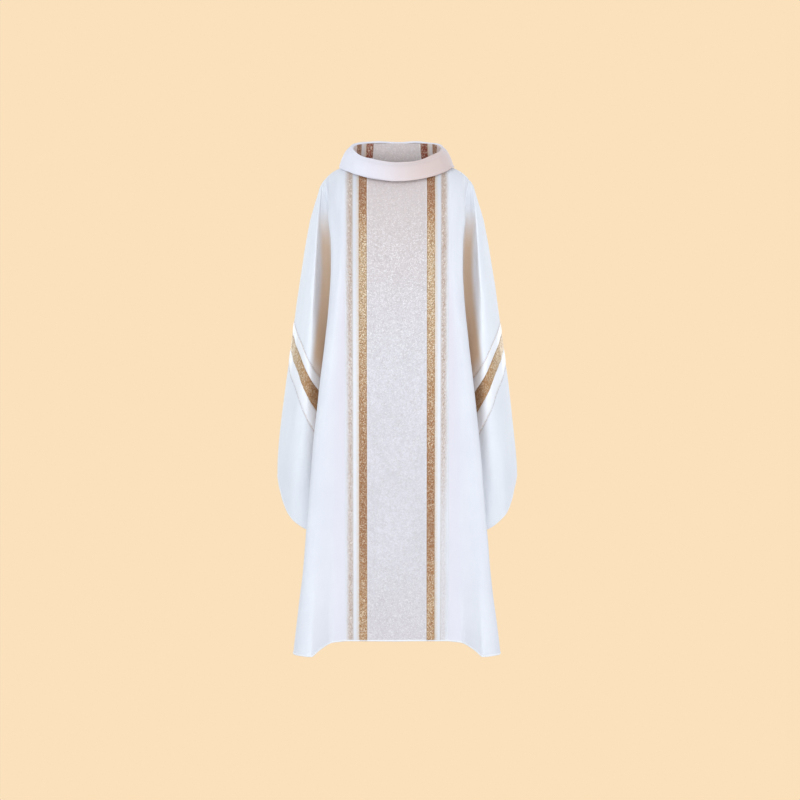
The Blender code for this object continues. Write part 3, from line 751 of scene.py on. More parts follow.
def satin(name, halo=True, light=(233, 233, 238), dark=(223, 223, 229)):
    """White satin: smooth, with fine lengthwise threads; cream flecks beside the gold."""
    shade_grey = srgb(194, 194, 202)
    near_cream, far_cream = srgb(212, 184, 152), srgb(206, 192, 184)
    mat = Nodes(name)
    edge = mat.attribute("edge")
    thread = mat.noise(across=1400, down=30, rough=0.6)
    pick = mat.cells(across=560, down=520)
    base = mat.blend(mat.span(thread, low=0.35, high=0.65), srgb(*light), srgb(*dark))
    if halo:
        # the satin lies in more shade towards the shoulder
        base = mat.blend(mat.times(mat.attribute("warm_shade"), 0.55), base, shade_grey)
        near = mat.times(mat.span(edge, low=0.05, high=0.56, to_low=1.0, to_high=0.0),
                         mat.span(pick[0], low=0.1, high=0.6, to_low=0.45, to_high=1.0),
                         clamp=True)
        far = mat.times(mat.span(edge, low=0.78, high=1.0),
                        mat.span(pick[1], low=0.2, high=0.8, to_low=0.4, to_high=1.0),
                        clamp=True)
    else:
        rim = mat.plus(mat.span(edge, low=0.90, high=1.0), mat.span(edge, low=0.10, high=0.0),
                       clamp=True)
        near = mat.times(rim, mat.span(pick[0], low=0.3, high=0.9), clamp=True)
        far = mat.times(near, 0.0)
    base = mat.blend(mat.times(near, 0.75), base, near_cream)
    base = mat.blend(mat.times(far, 0.75), base, far_cream)
    height = mat.plus(thread, mat.times(near, 0.6))
    normal = mat.bump(height, distance=0.0002, strength=0.8)
    return mat.finish(base, 0.38, normal, metallic=mat.times(near, 0.2), sheen=0.15,
                      specular=0.45)


def flecked(name):
    """White cloth with beige metallic flecks that thin out towards the side."""
    ground = srgb(232, 233, 240)
    fleck_dark, fleck_light = srgb(180, 152, 134), srgb(216, 200, 190)
    shade_brown, spark_cream = srgb(172, 142, 120), srgb(252, 246, 238)
    mat = Nodes(name)
    edge = mat.attribute("edge")
    pick = mat.cells(across=600, down=430)
    broad = mat.noise(across=90, down=11, rough=0.6)
    ragged = mat.plus(edge, mat.off_centre(broad, 0.35))
    veil = mat.times(mat.span(ragged, low=-0.05, high=0.16, to_low=0.55, to_high=1.0),
                     mat.span(ragged, low=0.42, high=0.98, to_low=1.0, to_high=0.04))
    fade = mat.span(mat.attribute("fade"), low=0.0, high=1.0, to_low=1.0, to_high=0.0)
    veil = mat.times(veil, fade)
    fleck = mat.span(pick[0], low=0.10, high=0.90)
    tone = mat.blend(fleck, fleck_dark, fleck_light)
    # painted sparkle: a few flecks lighten to cream
    spark = mat.times(mat.span(pick[1], low=0.86, high=1.0), 0.8)
    cover = mat.times(veil, mat.span(pick[2], low=0.0, high=0.7, to_low=0.55, to_high=1.0))
    colour = mat.blend(cover, ground, tone)
    # painted shade: the flecked band turns browner towards the shoulder
    colour = mat.blend(mat.times(mat.times(mat.attribute("warm_shade"), 0.42), veil), colour,
                       shade_brown)
    colour = mat.blend(mat.times(spark, veil), colour, spark_cream)
    height = mat.plus(mat.times(fleck, 0.8), mat.weave(pitch=0.0011))
    normal = mat.bump(height, distance=0.0002, strength=0.8)
    rough = mat.span(fleck, low=0, high=1, to_low=0.7, to_high=0.45)
    return mat.finish(colour, rough, normal, metallic=mat.times(veil, 0.12), sheen=0.2,
                      specular=0.3)


def plain(name, colour, rough=0.85):
    mat = Nodes(name)
    cloud = mat.noise(across=60, down=60, detail=3.0, rough=0.6)
    tone = mat.blend(cloud, colour, darker(colour, share=0.86))
    normal = mat.bump(mat.weave(pitch=0.0009), distance=0.0001, strength=0.7)
    return mat.finish(tone, rough, normal, sheen=0.1, specular=0.2)


# the tan of the painted shade deep in the folds
PAINTED_CREASE_SHADE = srgb(222, 184, 140)
# the side cloth's second tint is painted shade beside the beige band
SIDE_CLOTH = woven_cloth("side_cloth", srgb(233, 234, 240), srgb(226, 227, 235), crease_shade=PAINTED_CREASE_SHADE,
                         warm_shade=srgb(226, 220, 229))
# the sleeve cloth is the same white cloth painted lighter than the side cloth: painted light on the
# sleeves
SLEEVE_CLOTH_LIGHTER = woven_cloth("sleeve_cloth", srgb(240, 242, 247), srgb(234, 236, 243),
                           crease_shade=PAINTED_CREASE_SHADE, line=True)
# the collar cloth's second tint is painted shade, at its front and towards +X, and on the lining
COLLAR_CLOTH = woven_cloth("collar_cloth", srgb(238, 236, 246), srgb(231, 228, 238), rough=0.7,
                           pitch=0.0013, warm_shade=srgb(219, 199, 194))
BROCADE = brocade("column_brocade")
GOLD = gold_thread("gold_thread")
GOLD_SLEEVE = gold_thread("gold_thread_sleeve", base=(202, 156, 106), light=(242, 220, 184),
                          dark=(166, 112, 64))
SATIN = satin("ivory_satin")
SATIN_SLEEVE = satin("ivory_satin_sleeve", halo=False, light=(247, 247, 251),
                     dark=(240, 240, 245))
FLECKED = flecked("beige_fleck")
LINING = plain("lining_cotton", srgb(238, 228, 212))
LINING_PALE = plain("lining_pale", srgb(238, 230, 220))
BACKING = plain("ribbon_backing", srgb(205, 176, 138))
THREAD = plain("stitch_thread", srgb(238, 238, 246), rough=0.6)
THREAD_GOLD = plain("stitch_thread_gold", srgb(196, 156, 108), rough=0.5)
ROLLED_EDGE = plain("rolled_edge", srgb(246, 247, 252), rough=0.6)
LABEL_TAPE = plain("label_tape", srgb(240, 234, 222), rough=0.7)
# darker, redder copies of the gold, satin and beige bands: painted shade inside the collar
GOLD_SHADED_INSIDE = gold_thread("gold_thread_shaded_inside", base=(176, 84, 48), light=(228, 150, 98),
                          dark=(128, 50, 28))
SATIN_SHADED_INSIDE = satin("ivory_satin_shaded_inside", light=(228, 206, 198), dark=(212, 188, 180))
FLECK_SHADED_INSIDE = gold_thread("fleck_thread_shaded_inside", base=(190, 136, 104), light=(224, 188, 160),
                           dark=(150, 98, 72))

# ------------------------------------------------------------------ body panels
CLOTH = 0.0011             # the visible cloth, without the gap to its lining
OUT = 0.0004               # its outer face, above the CAD sheet's middle
RIBBON = 0.00055           # a full ribbon's height above the cloth
GOLD_PROUD, IVORY_PROUD, BEIGE_PROUD = 1.0, 0.8, 0.45     # shares of that height
BODY_ROWS = np.linspace(0, 1, 230)

# Height, strength of the painted shade beside the beige band
HALO_SHADE = ((0.0, 0.55), (0.16, 0.55), (0.42, 0.60), (0.63, 0.85), (0.85, 1.0), (1.0, 0.35),
        (1.08, 0.1), (1.3, 0.0))
# Height, strength of the painted highlight on the gold and brocade
GOLD_HIGHLIGHT_BY_HEIGHT = ((0.0, 0.50), (0.10, 0.50), (0.30, 0.20), (0.45, 0.20), (0.60, 0.34), (0.75, 0.62),
             (0.88, 0.92), (1.02, 0.95), (1.10, 0.60), (1.18, 0.05), (1.26, 0.0))


def columns_beside(size):
    """Columns a small step to either side, without stepping across the beige band's edge."""
    step = np.where(size <= X_BEIGE, 1e-3, 0.02)
    low = np.where((size > X_BEIGE) & (size - step < X_BEIGE), X_BEIGE, size - step)
    high = np.where((size <= X_BEIGE) & (size + step > X_BEIGE), X_BEIGE, size + step)
    return np.maximum(low, 0), high


def surface_normals(sheet, size, down, side):
    """Outward normals of the bare sheet by small steps, the same for pieces that share an edge."""
    low, high = columns_beside(size)
    high = np.where(np.abs(high - size) < 1e-9, X_BEIGE + 0.02, high)
    step = 1.5e-3

    def place(column, row):
        return hang(sheet, column, drop_z(sheet, column, row))

    across = place(high, down) - place(low, down)
    drop = place(size, np.minimum(down + step, 1)) - place(size, np.maximum(down - step, 0))
    normals = unit(np.cross(across, drop))
    # the cross product points one way all over a sheet: find it in the middle
    if np.median((normals[..., 1] * sheet["sign"])[size <= X_BEIGE + 1.5]) < 0:
        normals = -normals
    normals[..., 0] *= side
    return normals


def cloth_distance(sheet, size):
    """Distance from the middle line along the cloth, measured at a middle height."""
    stations = np.linspace(0, 6, 121)
    run = run_length(hang(sheet, X_BEIGE + stations, np.full(121, 0.55)))
    beyond = np.interp(np.clip(size - X_BEIGE, 0, 6), stations, run)
    return np.where(size <= X_BEIGE, size, X_BEIGE + beyond)


def on_panel(sheet, signed, z, lift):
    """Points and outward normals on the dressed panel at signed columns and heights."""
    size, side = np.abs(signed), side_of(signed)
    low, high = columns_beside(size)
    normals = unit(np.cross(
        hang_signed(sheet, side * high, z) - hang_signed(sheet, side * low, z),
        hang_signed(sheet, signed, z + 0.001) - hang_signed(sheet, signed, z - 0.001)))
    normals *= (-sheet["sign"] * side)[..., None]
    relief = panel_relief(sheet, side * cloth_distance(sheet, size), z)
    return hang_signed(sheet, signed, z) + normals * (relief + lift)[..., None], normals


def band_lift(size):
    """How far the outermost cloth stands out over the width of the panels."""
    return np.select([size < COLUMN_HALF, size < X_GOLD, size < X_IVORY, size < X_BEIGE],
                     [OUT] + [OUT + RIBBON * proud
                              for proud in (GOLD_PROUD, IVORY_PROUD, BEIGE_PROUD)], OUT)


def panel(name, sheet, columns, lift, thickness, materials, edges=None):
    """A cloth shell on a panel. columns are signed and run across it; edges are the half widths
    where the "edge" attribute is 0 and 1."""
    signed, down = np.meshgrid(columns, BODY_ROWS)
    size, side = np.abs(signed), side_of(signed)
    z = drop_z(sheet, size, down)
    points = hang_signed(sheet, signed, z)
    normals = surface_normals(sheet, size, down, side)
    across = cloth_distance(sheet, size)
    relief = panel_relief(sheet, side * across, z)
    points = points + normals * (relief + lift)[..., None]
    normals = refine_normals(points, normals)
    uv = np.stack([side * across, run_length(points)], -1)
    # painted crease shade lies behind the side fold, from station 3.35 to 4.9
    station = size - X_BEIGE
    deep = (0.8 * smooth((station - 3.35) / 0.5) * smooth((4.9 - station) / 0.8)
            * smooth((z - 0.35) / 0.4) * smooth((1.165 - z) / 0.05))
    # painted shade beside the beige band, strongest below the shoulder
    halo = along(HALO_SHADE, z) * bell(across, centre=X_BEIGE, width=0.032)
    # painted shade: the bands are darker and warmer towards the shoulder, under the collar, and a
    # little towards the hem
    band_shade = smooth((z - 0.70) / 0.50) + 0.30 * smooth((0.32 - z) / 0.3)
    attributes = {
        "deep": deep,
        "warm_shade": np.where(size > X_BEIGE, halo, band_shade),
        "painted_highlight": along(GOLD_HIGHLIGHT_BY_HEIGHT, z),
        "edge": (size - edges[0]) / (edges[1] - edges[0]) if edges else 0,
        "fade": 0.62 * smooth((0.62 - z) / 0.35) * (side > 0),
    }
    return shell(name, points, normals, thickness, materials, uv, attributes)


SIDE_COLUMNS = np.concatenate([
    np.linspace(SEAM_X + 0.0002, X_BEIGE, 20)[:-1],
    X_BEIGE + np.concatenate([np.linspace(0, 2, 25)[:-1], np.linspace(2, 4.2, 34)[:-1],
                              np.linspace(4.2, 6.0, 16)])])
# colour, kind of piece, inner and outer half width, gap at each, columns, share of RIBBON proud,
# thickness, material
RIBBONS = (
    ("gold", "ribbon", COLUMN_HALF, X_GOLD, 0.0, 0.0004, 10, GOLD_PROUD, 0.0005, GOLD),
    ("ivory", "ribbon", X_GOLD, X_IVORY, 0.0, 0.0003, 9, IVORY_PROUD, 0.0004, SATIN),
    ("beige", "band_cloth", X_IVORY, X_BEIGE, 0.0001, 0.0, 10, BEIGE_PROUD, 0.0002, FLECKED),
)

for label, sheet in SHEETS:
    column_cloth = panel(f"{label}_column_cloth", sheet, np.linspace(-SEAM_X, SEAM_X, 71), OUT,
                         CLOTH, [BROCADE, LINING_PALE, ROLLED_EDGE], edges=(0.0, COLUMN_HALF))
    keep(column_cloth, "column_cloth", f"{label}_column_panel")
    for hand, where in SIDES:
        side_cloth = panel(f"{label}_side_cloth_{where}", sheet, hand * SIDE_COLUMNS, OUT, CLOTH,
                           [SIDE_CLOTH, LINING, ROLLED_EDGE])
        keep(side_cloth, "white_cloth", f"{label}_side_panel_{where}")
        for (colour, kind, inner, outer, inner_gap, outer_gap, count, proud, thickness,
             material) in RIBBONS:
            columns = np.linspace(inner + inner_gap, outer - outer_gap, count)
            ribbon = panel(f"{label}_{colour}_{kind}_{where}", sheet, hand * columns,
                           OUT + RIBBON * proud, thickness, [material, BACKING],
                           edges=(inner, outer))
            keep(ribbon, f"{colour}_band", f"{label}_{colour}_band_{where}")


# ------------------------------------------------------------------ sleeves
def join_sheets(front, back, axis=0):
    """Join front and back, both valley to outer line, into one run from valley to valley."""
    return np.concatenate([front, np.delete(np.flip(back, axis), 0, axis)], axis)


# Stations of a sleeve count from the valley (0) to the outer line (6), and on to the back valley
SLEEVE_STATIONS = np.concatenate([np.linspace(0, 2, 17)[:-1], np.linspace(2, 4.5, 42)[:-1],
                                  np.linspace(4.5, 6, 20)])
SLEEVE_ROUND = join_sheets(SLEEVE_STATIONS, 12 - SLEEVE_STATIONS)
# Distance round the sleeve at a middle height
SLEEVE_ACROSS = run_length(join_sheets(*(
    hang(sheet, SLEEVE_START + SLEEVE_STATIONS, 0.75) for sheet in (FRONT, BACK))))
BAND_STATIONS = np.linspace(0.25, 5.985, 9)


def band_edge(part, which):
    """An edge of a CAD band (0 top, 1 bottom) as heights at SLEEVE_STATIONS."""
    z = cad_columns(f"left_sleeve_{part}_front", FRONT, SLEEVE_START + BAND_STATIONS)[which]
    return along(list(zip(BAND_STATIONS, z)), SLEEVE_STATIONS)


EDGES = {"top": band_edge("ivory_band_upper", 0), "gold_top": band_edge("gold_band", 0),
         "gold_bottom": band_edge("gold_band", 1), "bottom": band_edge("ivory_band_lower", 1)}


def sleeve_rows(sheet, plan):
    """Heights (rows, columns) down a sleeve's columns. plan lists (from, to, rows)."""
    crown_z = along(sheet["ridge"], ridge_x(SLEEVE_START + SLEEVE_STATIONS))
    edge = sleeve_bottom_z(sheet, SLEEVE_STATIONS)
    lines = dict(EDGES, cap=np.full(len(SLEEVE_STATIONS), CAP_Z), above=EDGES["top"] + 0.022,
                 below=EDGES["bottom"] - 0.022, edge=edge, edge_near=edge + 0.03)
    rows = []
    for start, end, count in plan:
        for k in range(count):
            share = k / count
            if start == "ridge":
                rows.append(CAP_Z + (crown_z - CAP_Z) * math.sin(math.pi / 2 * (1 - share)))
            else:
                rows.append(mix(lines[start], lines[end], share))
    rows.append(lines[plan[-1][1]])
    return np.array(rows)


def sleeve(name, hand, plan, lift, crown, thickness, materials):
    """A strip or the whole cloth of a sleeve: front valley, crest, outer line, crest, back
    valley. crown is how far a strip bulges along its middle."""
    heights = [sleeve_rows(sheet, plan) for sheet in (FRONT, BACK)]
    z = join_sheets(*heights, axis=1)
    points = join_sheets(*(hang(sheet, SLEEVE_START + SLEEVE_STATIONS, height)
                           for sheet, height in zip((FRONT, BACK), heights)), axis=1)
    normals = grid_normals(points)
    if normals[len(z) // 2, len(SLEEVE_STATIONS) - 1][0] < 0:
        normals = -normals
    across = np.broadcast_to(SLEEVE_ACROSS, z.shape)
    from_valley = np.broadcast_to(np.minimum(SLEEVE_ROUND, 12 - SLEEVE_ROUND), z.shape)
    relief = sleeve_relief(hand, across, z) * smooth(from_valley / 0.8)
    down = np.broadcast_to(np.linspace(0, 1, len(z))[:, None], z.shape)
    bulge = crown * np.sin(math.pi * down) ** 0.7
    points = points + normals * (relief + lift + bulge)[..., None]
    points[..., 0] *= hand
    normals[..., 0] *= hand
    normals = refine_normals(points, normals)
    uv = np.stack([across, run_length(points)], -1)
    # painted tan shade gathers behind the side fold, from under the shoulder down to the bands
    top, bottom = (join_sheets(EDGES[line], EDGES[line]) for line in ("top", "bottom"))
    shade = smooth((SHOULDER_Z - 0.055 - z) / 0.13) * (0.45 + 0.55 * smooth((z - top) / 0.05))
    shade = shade * smooth((z - bottom + 0.02) / 0.06)
    behind = along(FOLD_EDGE, z) + 0.028 - np.abs(points[..., 0])
    shade = 0.80 * shade * smooth(0.5 + behind / 0.014)
    # a fine grey line runs along the outside of the stripes
    line_width = 0.0026
    outside = np.maximum((z - top) / line_width, (bottom - z) / line_width)
    attributes = {
        "deep": shade * smooth((from_valley - 0.35) / 0.7) * smooth((1.175 - z) / 0.05),
        "edge": down,
        "warm_shade": 0,
        # painted highlight on the sleeve gold, strong at the outer line; low near the valley as
        # painted shade
        "painted_highlight": 0.22 + 0.72 * smooth((from_valley - 2.6) / 2.6),
        "line": np.clip(outside / 6, -1, 1),
    }
    return shell(name, points, normals, thickness, materials, uv, attributes)


def blend_sleeve(ob, hand, where, slot, *nodes):
    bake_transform(ob)
    if nodes:
        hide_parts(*nodes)


SLEEVE_PLAN = (("ridge", "cap", 26), ("cap", "above", 62), ("above", "top", 12),
               ("top", "gold_top", 6), ("gold_top", "gold_bottom", 8),
               ("gold_bottom", "bottom", 6), ("bottom", "below", 12),
               ("below", "edge_near", 52), ("edge_near", "edge", 10))
# part, slot, material, top and bottom line, rows, share of RIBBON proud, crown
SLEEVE_BANDS = (
    ("ivory_band_upper", "ivory_band", SATIN_SLEEVE, "top", "gold_top", 8, 0.5, 0.0011),
    ("gold_band", "gold_band", GOLD_SLEEVE, "gold_top", "gold_bottom", 10, 0.9, 0.0004),
    ("ivory_band_lower", "ivory_band", SATIN_SLEEVE, "gold_bottom", "bottom", 8, 0.5, 0.0011),
)

for hand, where in SIDES:
    sleeve_cloth = sleeve(f"{where}_sleeve_cloth", hand, SLEEVE_PLAN, OUT, 0.0, CLOTH,
                          [SLEEVE_CLOTH_LIGHTER, LINING, ROLLED_EDGE])
    blend_sleeve(sleeve_cloth, hand, where, "white_cloth",
                 *(f"{where}_sleeve_{part}_{label}" for part in ("top", "cuff")
                   for label in ("front", "back")))
    for part, slot, material, upper, lower, count, proud, crown in SLEEVE_BANDS:
        ribbon = sleeve(f"{where}_sleeve_{part}", hand, ((upper, lower, count),),
                        OUT + RIBBON * proud, crown, 0.0005, [material, BACKING])
        blend_sleeve(ribbon, hand, where, slot,
                     *(f"{where}_sleeve_{part}_{label}" for label in ("front", "back")))


# ------------------------------------------------------------------ collar
COLLAR_Y = -0.0115         # the collar's centre
# Half width and half depth of the rolled rim, the turned edge and the neck seam
RIM, FALL, NECK = (0.1185, 0.0880), (0.1490, 0.1180), (0.1315, 0.0920)
# Heights round the collar: mean, and the parts in cos(angle) and cos(2 angle)
RIM_Z = (1.3050, -0.0329, -0.0070)
FALL_Z = (1.2460, -0.0150, -0.0140)
# Profile from under the turned edge, up the outside and over the rim: share of the way from
# fall to rim in width and depth, outset, parts of the fall's and rim's height, rise
COLLAR_PROFILE = np.array((
    (0.00, 0.00, -0.0040, 1.00, 0.00, 0.0042),
    (0.00, 0.00, 0.0, 1.00, 0.00, 0.0),
    (0.22, 0.20, 0.0, 0.64, 0.36, 0.0),
    (0.52, 0.50, 0.0, 0.28, 0.72, 0.0),
    (1.00, 1.00, 0.0058, 0.00, 1.00, -0.0050),
    (1.00, 1.00, 0.0008, 0.00, 1.00, 0.0),
    (1.00, 1.00, -0.0042, 0.00, 1.00, -0.0034),
))


def ring_height(waves, angle):
    return waves[0] + waves[1] * np.cos(angle) + waves[2] * np.cos(2 * angle)


def ring(width, depth, z, angle):
    """Points round the collar; the angle runs from the middle of the front towards +X."""
    return np.stack([width * np.sin(angle), COLLAR_Y - depth * np.cos(angle), z], -1)


def ring_outward(angle):
    return np.stack([np.sin(angle), -np.cos(angle), 0 * angle], -1)


def catmull(values, at):
    """A smooth curve through rows of values, at row numbers."""
    k = np.clip(at.astype(int), 0, len(values) - 2)
    before, start = values[np.maximum(0, k - 1)], values[k]
    end, after = values[k + 1], values[np.minimum(len(values) - 1, k + 2)]
    return hermite(start, end, (end - before) / 2, (after - start) / 2, (at - k)[..., None])


def collar_profile(angle, up):
    """Points from under the turned edge (up -0.2), up the outside of the collar from up 0, and
    over the rolled rim (up 1)."""
    outset = COLLAR_PROFILE[:, 2]
    width = mix(FALL[0], RIM[0], COLLAR_PROFILE[:, 0]) + outset
    depth = mix(FALL[1], RIM[1], COLLAR_PROFILE[:, 1]) + outset
    stations = np.column_stack([width, depth, COLLAR_PROFILE[:, 3:]])
    width, depth, fall, rim, rise = np.moveaxis(catmull(stations, up * 5 + 1), -1, 0)
    z = fall * ring_height(FALL_Z, angle) + rim * ring_height(RIM_Z, angle) + rise
    return ring(width, depth, z, angle)


def collar_relief(angle, up):
    turn = angle / (2 * math.pi)
    wave = soft_noise(turn * 14, up * 1.1, 71)
    # the noise fades out at the middle of the front, where its ends meet
    fade = smooth(np.minimum(angle, 2 * math.pi - angle) / 0.4)
    fine = soft_noise(turn * 44, up * 3, 72)
    # soft dents at the sides of the roll and over the shoulders
    dents = (0.0022 * bell(angle, centre=1.15, width=0.16)
             + 0.0018 * bell(angle, centre=5.20, width=0.15)
             + 0.0015 * bell(angle, centre=2.05, width=0.12)
             + 0.0015 * bell(angle, centre=4.30, width=0.13))
    hold = np.sin(np.pi * np.clip(up / 0.62, 0, 1)) ** 0.8
    return (0.0018 * wave + 0.0005 * fine) * fade + 0.0008 + 0.0012 * hold - dents * hold


def collar_roll():
    rows = np.concatenate([np.linspace(-0.2, 0, 8)[:-1], np.linspace(0, 0.6, 18)[:-1],
                           np.linspace(0.6, 1.0, 22)])
    angle, up = np.meshgrid(np.linspace(0, 2 * math.pi, 200, endpoint=False), rows)
    points = collar_profile(angle, up)
    normals = grid_normals(points, closed=True)
    facing = np.einsum("rci,rci->rc", normals, ring_outward(angle))
    if facing[len(rows) // 3].mean() < 0:
        normals = -normals
    points = points + normals * collar_relief(angle, up)[..., None]
    normals = refine_normals(points, normals, closed=True)
    # the texture runs up one side and down the other, so that it has no seam
    uv = np.stack([np.abs(angle - math.pi) * 0.12, up * 0.05], -1)
    # painted shade: darkest and warmest at the front and towards +X
    warm_shade = smooth((points[..., 0] + 0.13) / 0.22) * smooth((0.03 - points[..., 1]) / 0.09)
    ob = shell("collar_roll", points, normals, 0.0020, [COLLAR_CLOTH, COLLAR_CLOTH], uv,
               dict(PLAIN, warm_shade=warm_shade, painted_highlight=0.2), closed=True)
    keep(ob, "collar_cloth", "collar_outer")


def collar_lining_points(angle, down):
    """Points down the lining, from inside the rim (down 0) to inside the neck (down 1)."""
    top = ring(RIM[0] - 0.0046, RIM[1] - 0.0046, ring_height(RIM_Z, angle) - 0.0040, angle)
    size = np.abs(np.sin(angle)) * X_BEIGE
    neck_z = np.where(np.cos(angle) > 0, neckline_z(FRONT, size), neckline_z(BACK, size))
    foot = ring(NECK[0] - 0.005, NECK[1] - 0.0085, neck_z - 0.007, angle)
    belly = 0.004 * np.sin(math.pi * down)
    return mix(top, foot, down[..., None]) - ring_outward(angle) * belly[..., None]


def lining_arc(name, start, end, count, lift, thickness, material, slot, node):
    """An arc of the lining, in degrees from the middle of the back towards +X."""
    degrees, down = np.meshgrid(np.linspace(start, end, count), np.linspace(0, 1, 12))
    angle = np.radians(180 - degrees)
    points = collar_lining_points(angle, down)
    normals = grid_normals(points)
    if np.einsum("rci,rci->rc", normals, -ring_outward(angle)).mean() < 0:
        normals = -normals
    uv = np.stack([np.radians(degrees) * 0.11, down * 0.045], -1)
    edge = np.abs(degrees - start) / abs(end - start)
    # the lining lies in painted shade, with a weak painted highlight
    ob = shell(name, points + normals * lift, normals, thickness, [material, BACKING], uv,
               dict(PLAIN, warm_shade=1, painted_highlight=0.1, edge=edge))
    keep(ob, slot, node)


collar_roll()

# where the lining's arcs meet, in degrees: back, gold, ivory, beige, front
GOLD_FROM, GOLD_TO, IVORY_TO, BEIGE_TO = 33.4, 45.4, 55.3, 67.5
# colour, kind of piece, start, end, columns, lift, thickness, material
LINING_BANDS = (
    ("gold", "ribbon", GOLD_FROM, GOLD_TO, 14, 0.0004, 0.0011, GOLD_SHADED_INSIDE),
    ("ivory", "ribbon", GOLD_TO, IVORY_TO, 10, 0.0002, 0.0009, SATIN_SHADED_INSIDE),
    ("beige", "cloth", IVORY_TO, BEIGE_TO, 10, 0.0, 0.0007, FLECK_SHADED_INSIDE),
)
lining_arc("collar_lining_back_cloth", -GOLD_FROM, GOLD_FROM, 40, 0.0, 0.0007, BROCADE,
           "column_cloth", "collar_lining_back")
for hand, where in SIDES:
    for colour, kind, start, end, count, lift, thickness, material in LINING_BANDS:
        lining_arc(f"collar_lining_{colour}_{kind}_{where}", hand * start, hand * end, count,
                   lift, thickness, material, f"{colour}_band",
                   f"collar_lining_{colour}_{where}")
lining_arc("collar_lining_front_cloth", BEIGE_TO, 360 - BEIGE_TO, 120, 0.0, 0.0007,
           COLLAR_CLOTH, "collar_cloth", "collar_lining_front")


# ------------------------------------------------------------------ inside: facings, stays, label
def hem_fold(name, sheet, signed, *nodes):
    """The turned-up hem inside the panels, along the hem as it is dressed."""
    column, down = np.meshgrid(signed, np.linspace(0, 1, 9))
    z = hem_at(np.abs(column)) + 0.0012 + 0.031 * (1 - down)
    points, normals = on_panel(sheet, column, z, OUT - CLOTH - 0.0004)
    ob = shell(name, points, -normals, 0.0006, [LINING_PALE, LINING_PALE],
               np.stack([column, z], -1), PLAIN)
    keep(ob, "facing_cloth", *nodes)


def neck_fold(label, sheet):
    """A strip inside the sheet, along the neckline."""
    column, down = np.meshgrid(np.linspace(-0.100, 0.100, 70), np.linspace(0, 1, 9))
    neck_z = neckline_z(sheet, np.abs(column))
    z = mix(neck_z - 0.0015, neck_z - 0.036, down)
    points = hang_signed(sheet, column, z)
    normals = grid_normals(points)
    if np.median(normals[..., 1]) * sheet["sign"] > 0:
        normals = -normals
    ob = shell(f"{label}_neck_fold", points + normals * 0.0040, normals, 0.0008,
               [LINING_PALE, LINING_PALE], np.stack([column, z], -1), PLAIN)
    keep(ob, "facing_cloth", f"{label}_neck_facing")


def shoulder_stay(hand, where):
    """A short tape that slopes down with the shoulder and sags a little."""
    half_length, half_width = 0.0178, 0.0049
    low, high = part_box(f"shoulder_stay_{where}")
    centre = (low + high) / 2
    slope = math.atan2(high.z - low.z - 0.0012, high.x - low.x)
    length, width = np.meshgrid(np.linspace(-half_length, half_length, 24),
                                np.linspace(-half_width, half_width, 9))
    sag = 0.00025 * np.cos(length / half_length * math.pi / 2)
    points = np.stack([centre.x + length * math.cos(slope), centre.y + width,
                       centre.z + 0.0005 - hand * length * math.sin(slope) - sag], -1)
    normals = np.zeros_like(points)
    normals[..., 0], normals[..., 2] = hand * math.sin(slope), math.cos(slope)
    ob = shell(f"shoulder_stay_tape_{where}", points, normals, 0.0010,
               [LINING_PALE, LINING_PALE], np.stack([length, width], -1))
    keep(ob, "facing_cloth", f"shoulder_stay_{where}")


def size_label():
    """A small upright tape, slightly bowed, that faces -Y."""
    low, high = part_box("size_label")
    x, z = np.meshgrid(np.linspace(low.x, high.x, 20), np.linspace(high.z, low.z, 12))
    bow = 0.0003 * np.cos((z - low.z) / (high.z - low.z) * math.pi)
    points = np.stack([x, (low.y + high.y) / 2 - 0.0003 + bow, z], -1)
    normals = np.zeros_like(points)
    normals[..., 1] = -1
    ob = shell("size_label_tape", points, normals, 0.0005, [LABEL_TAPE, LABEL_TAPE],
               np.stack([x, z], -1))
    keep(ob, "label_tape", "size_label")


for label, sheet in SHEETS:
    hem_fold(f"{label}_hem_fold", sheet, np.linspace(-0.1325, 0.1325, 96),
             f"{label}_hem_facing")
    for hand, where in SIDES:
        hem_fold(f"{label}_hem_fold_side_{where}", sheet,
                 hand * (X_BEIGE + np.linspace(0.02, 5.9, 90)))
    neck_fold(label, sheet)
for hand, where in SIDES:
    shoulder_stay(hand, where)
size_label()


# ------------------------------------------------------------------ rolled edges and stitches
def raw_mesh(name, verts, faces, material):
    mesh = bpy.data.meshes.new(name)
    mesh.from_pydata(verts.tolist(), [], faces)
    mesh.materials.append(material)
    layer = mesh.uv_layers.new(name="cloth")
    corners = verts[np.array([loop.vertex_index for loop in mesh.loops])]
    uv = np.stack([corners[:, 0], corners[:, 2]], -1)
    layer.data.foreach_set("uv", uv.astype(np.float32).ravel())
    return look(name, mesh)


def roll(name, points, normals, half_thick, half_high):
    """A closed rolled edge along a path: an oval section, thin along the normals."""
    count, sides = len(points), 8
    up = unit(np.cross(unit(np.gradient(points, axis=0)), normals))
    angle = np.linspace(0, 2 * math.pi, sides, endpoint=False)[None, :, None]
    taper = np.ones(count)
    taper[[0, -1]] = 0.4
    section = (normals[:, None] * np.cos(angle) * half_thick
               + up[:, None] * np.sin(angle) * half_high)
    verts = (points[:, None] + section * taper[:, None, None]).reshape(-1, 3)
    faces = []
    for i in range(count - 1):
        for k in range(sides):
            k2 = (k + 1) % sides
            faces.append((i * sides + k, (i + 1) * sides + k,
                          (i + 1) * sides + k2, i * sides + k2))
    faces.append(tuple(range(sides)))
    faces.append(tuple(range((count - 1) * sides, count * sides))[::-1])
    return raw_mesh(name, verts, faces, ROLLED_EDGE)


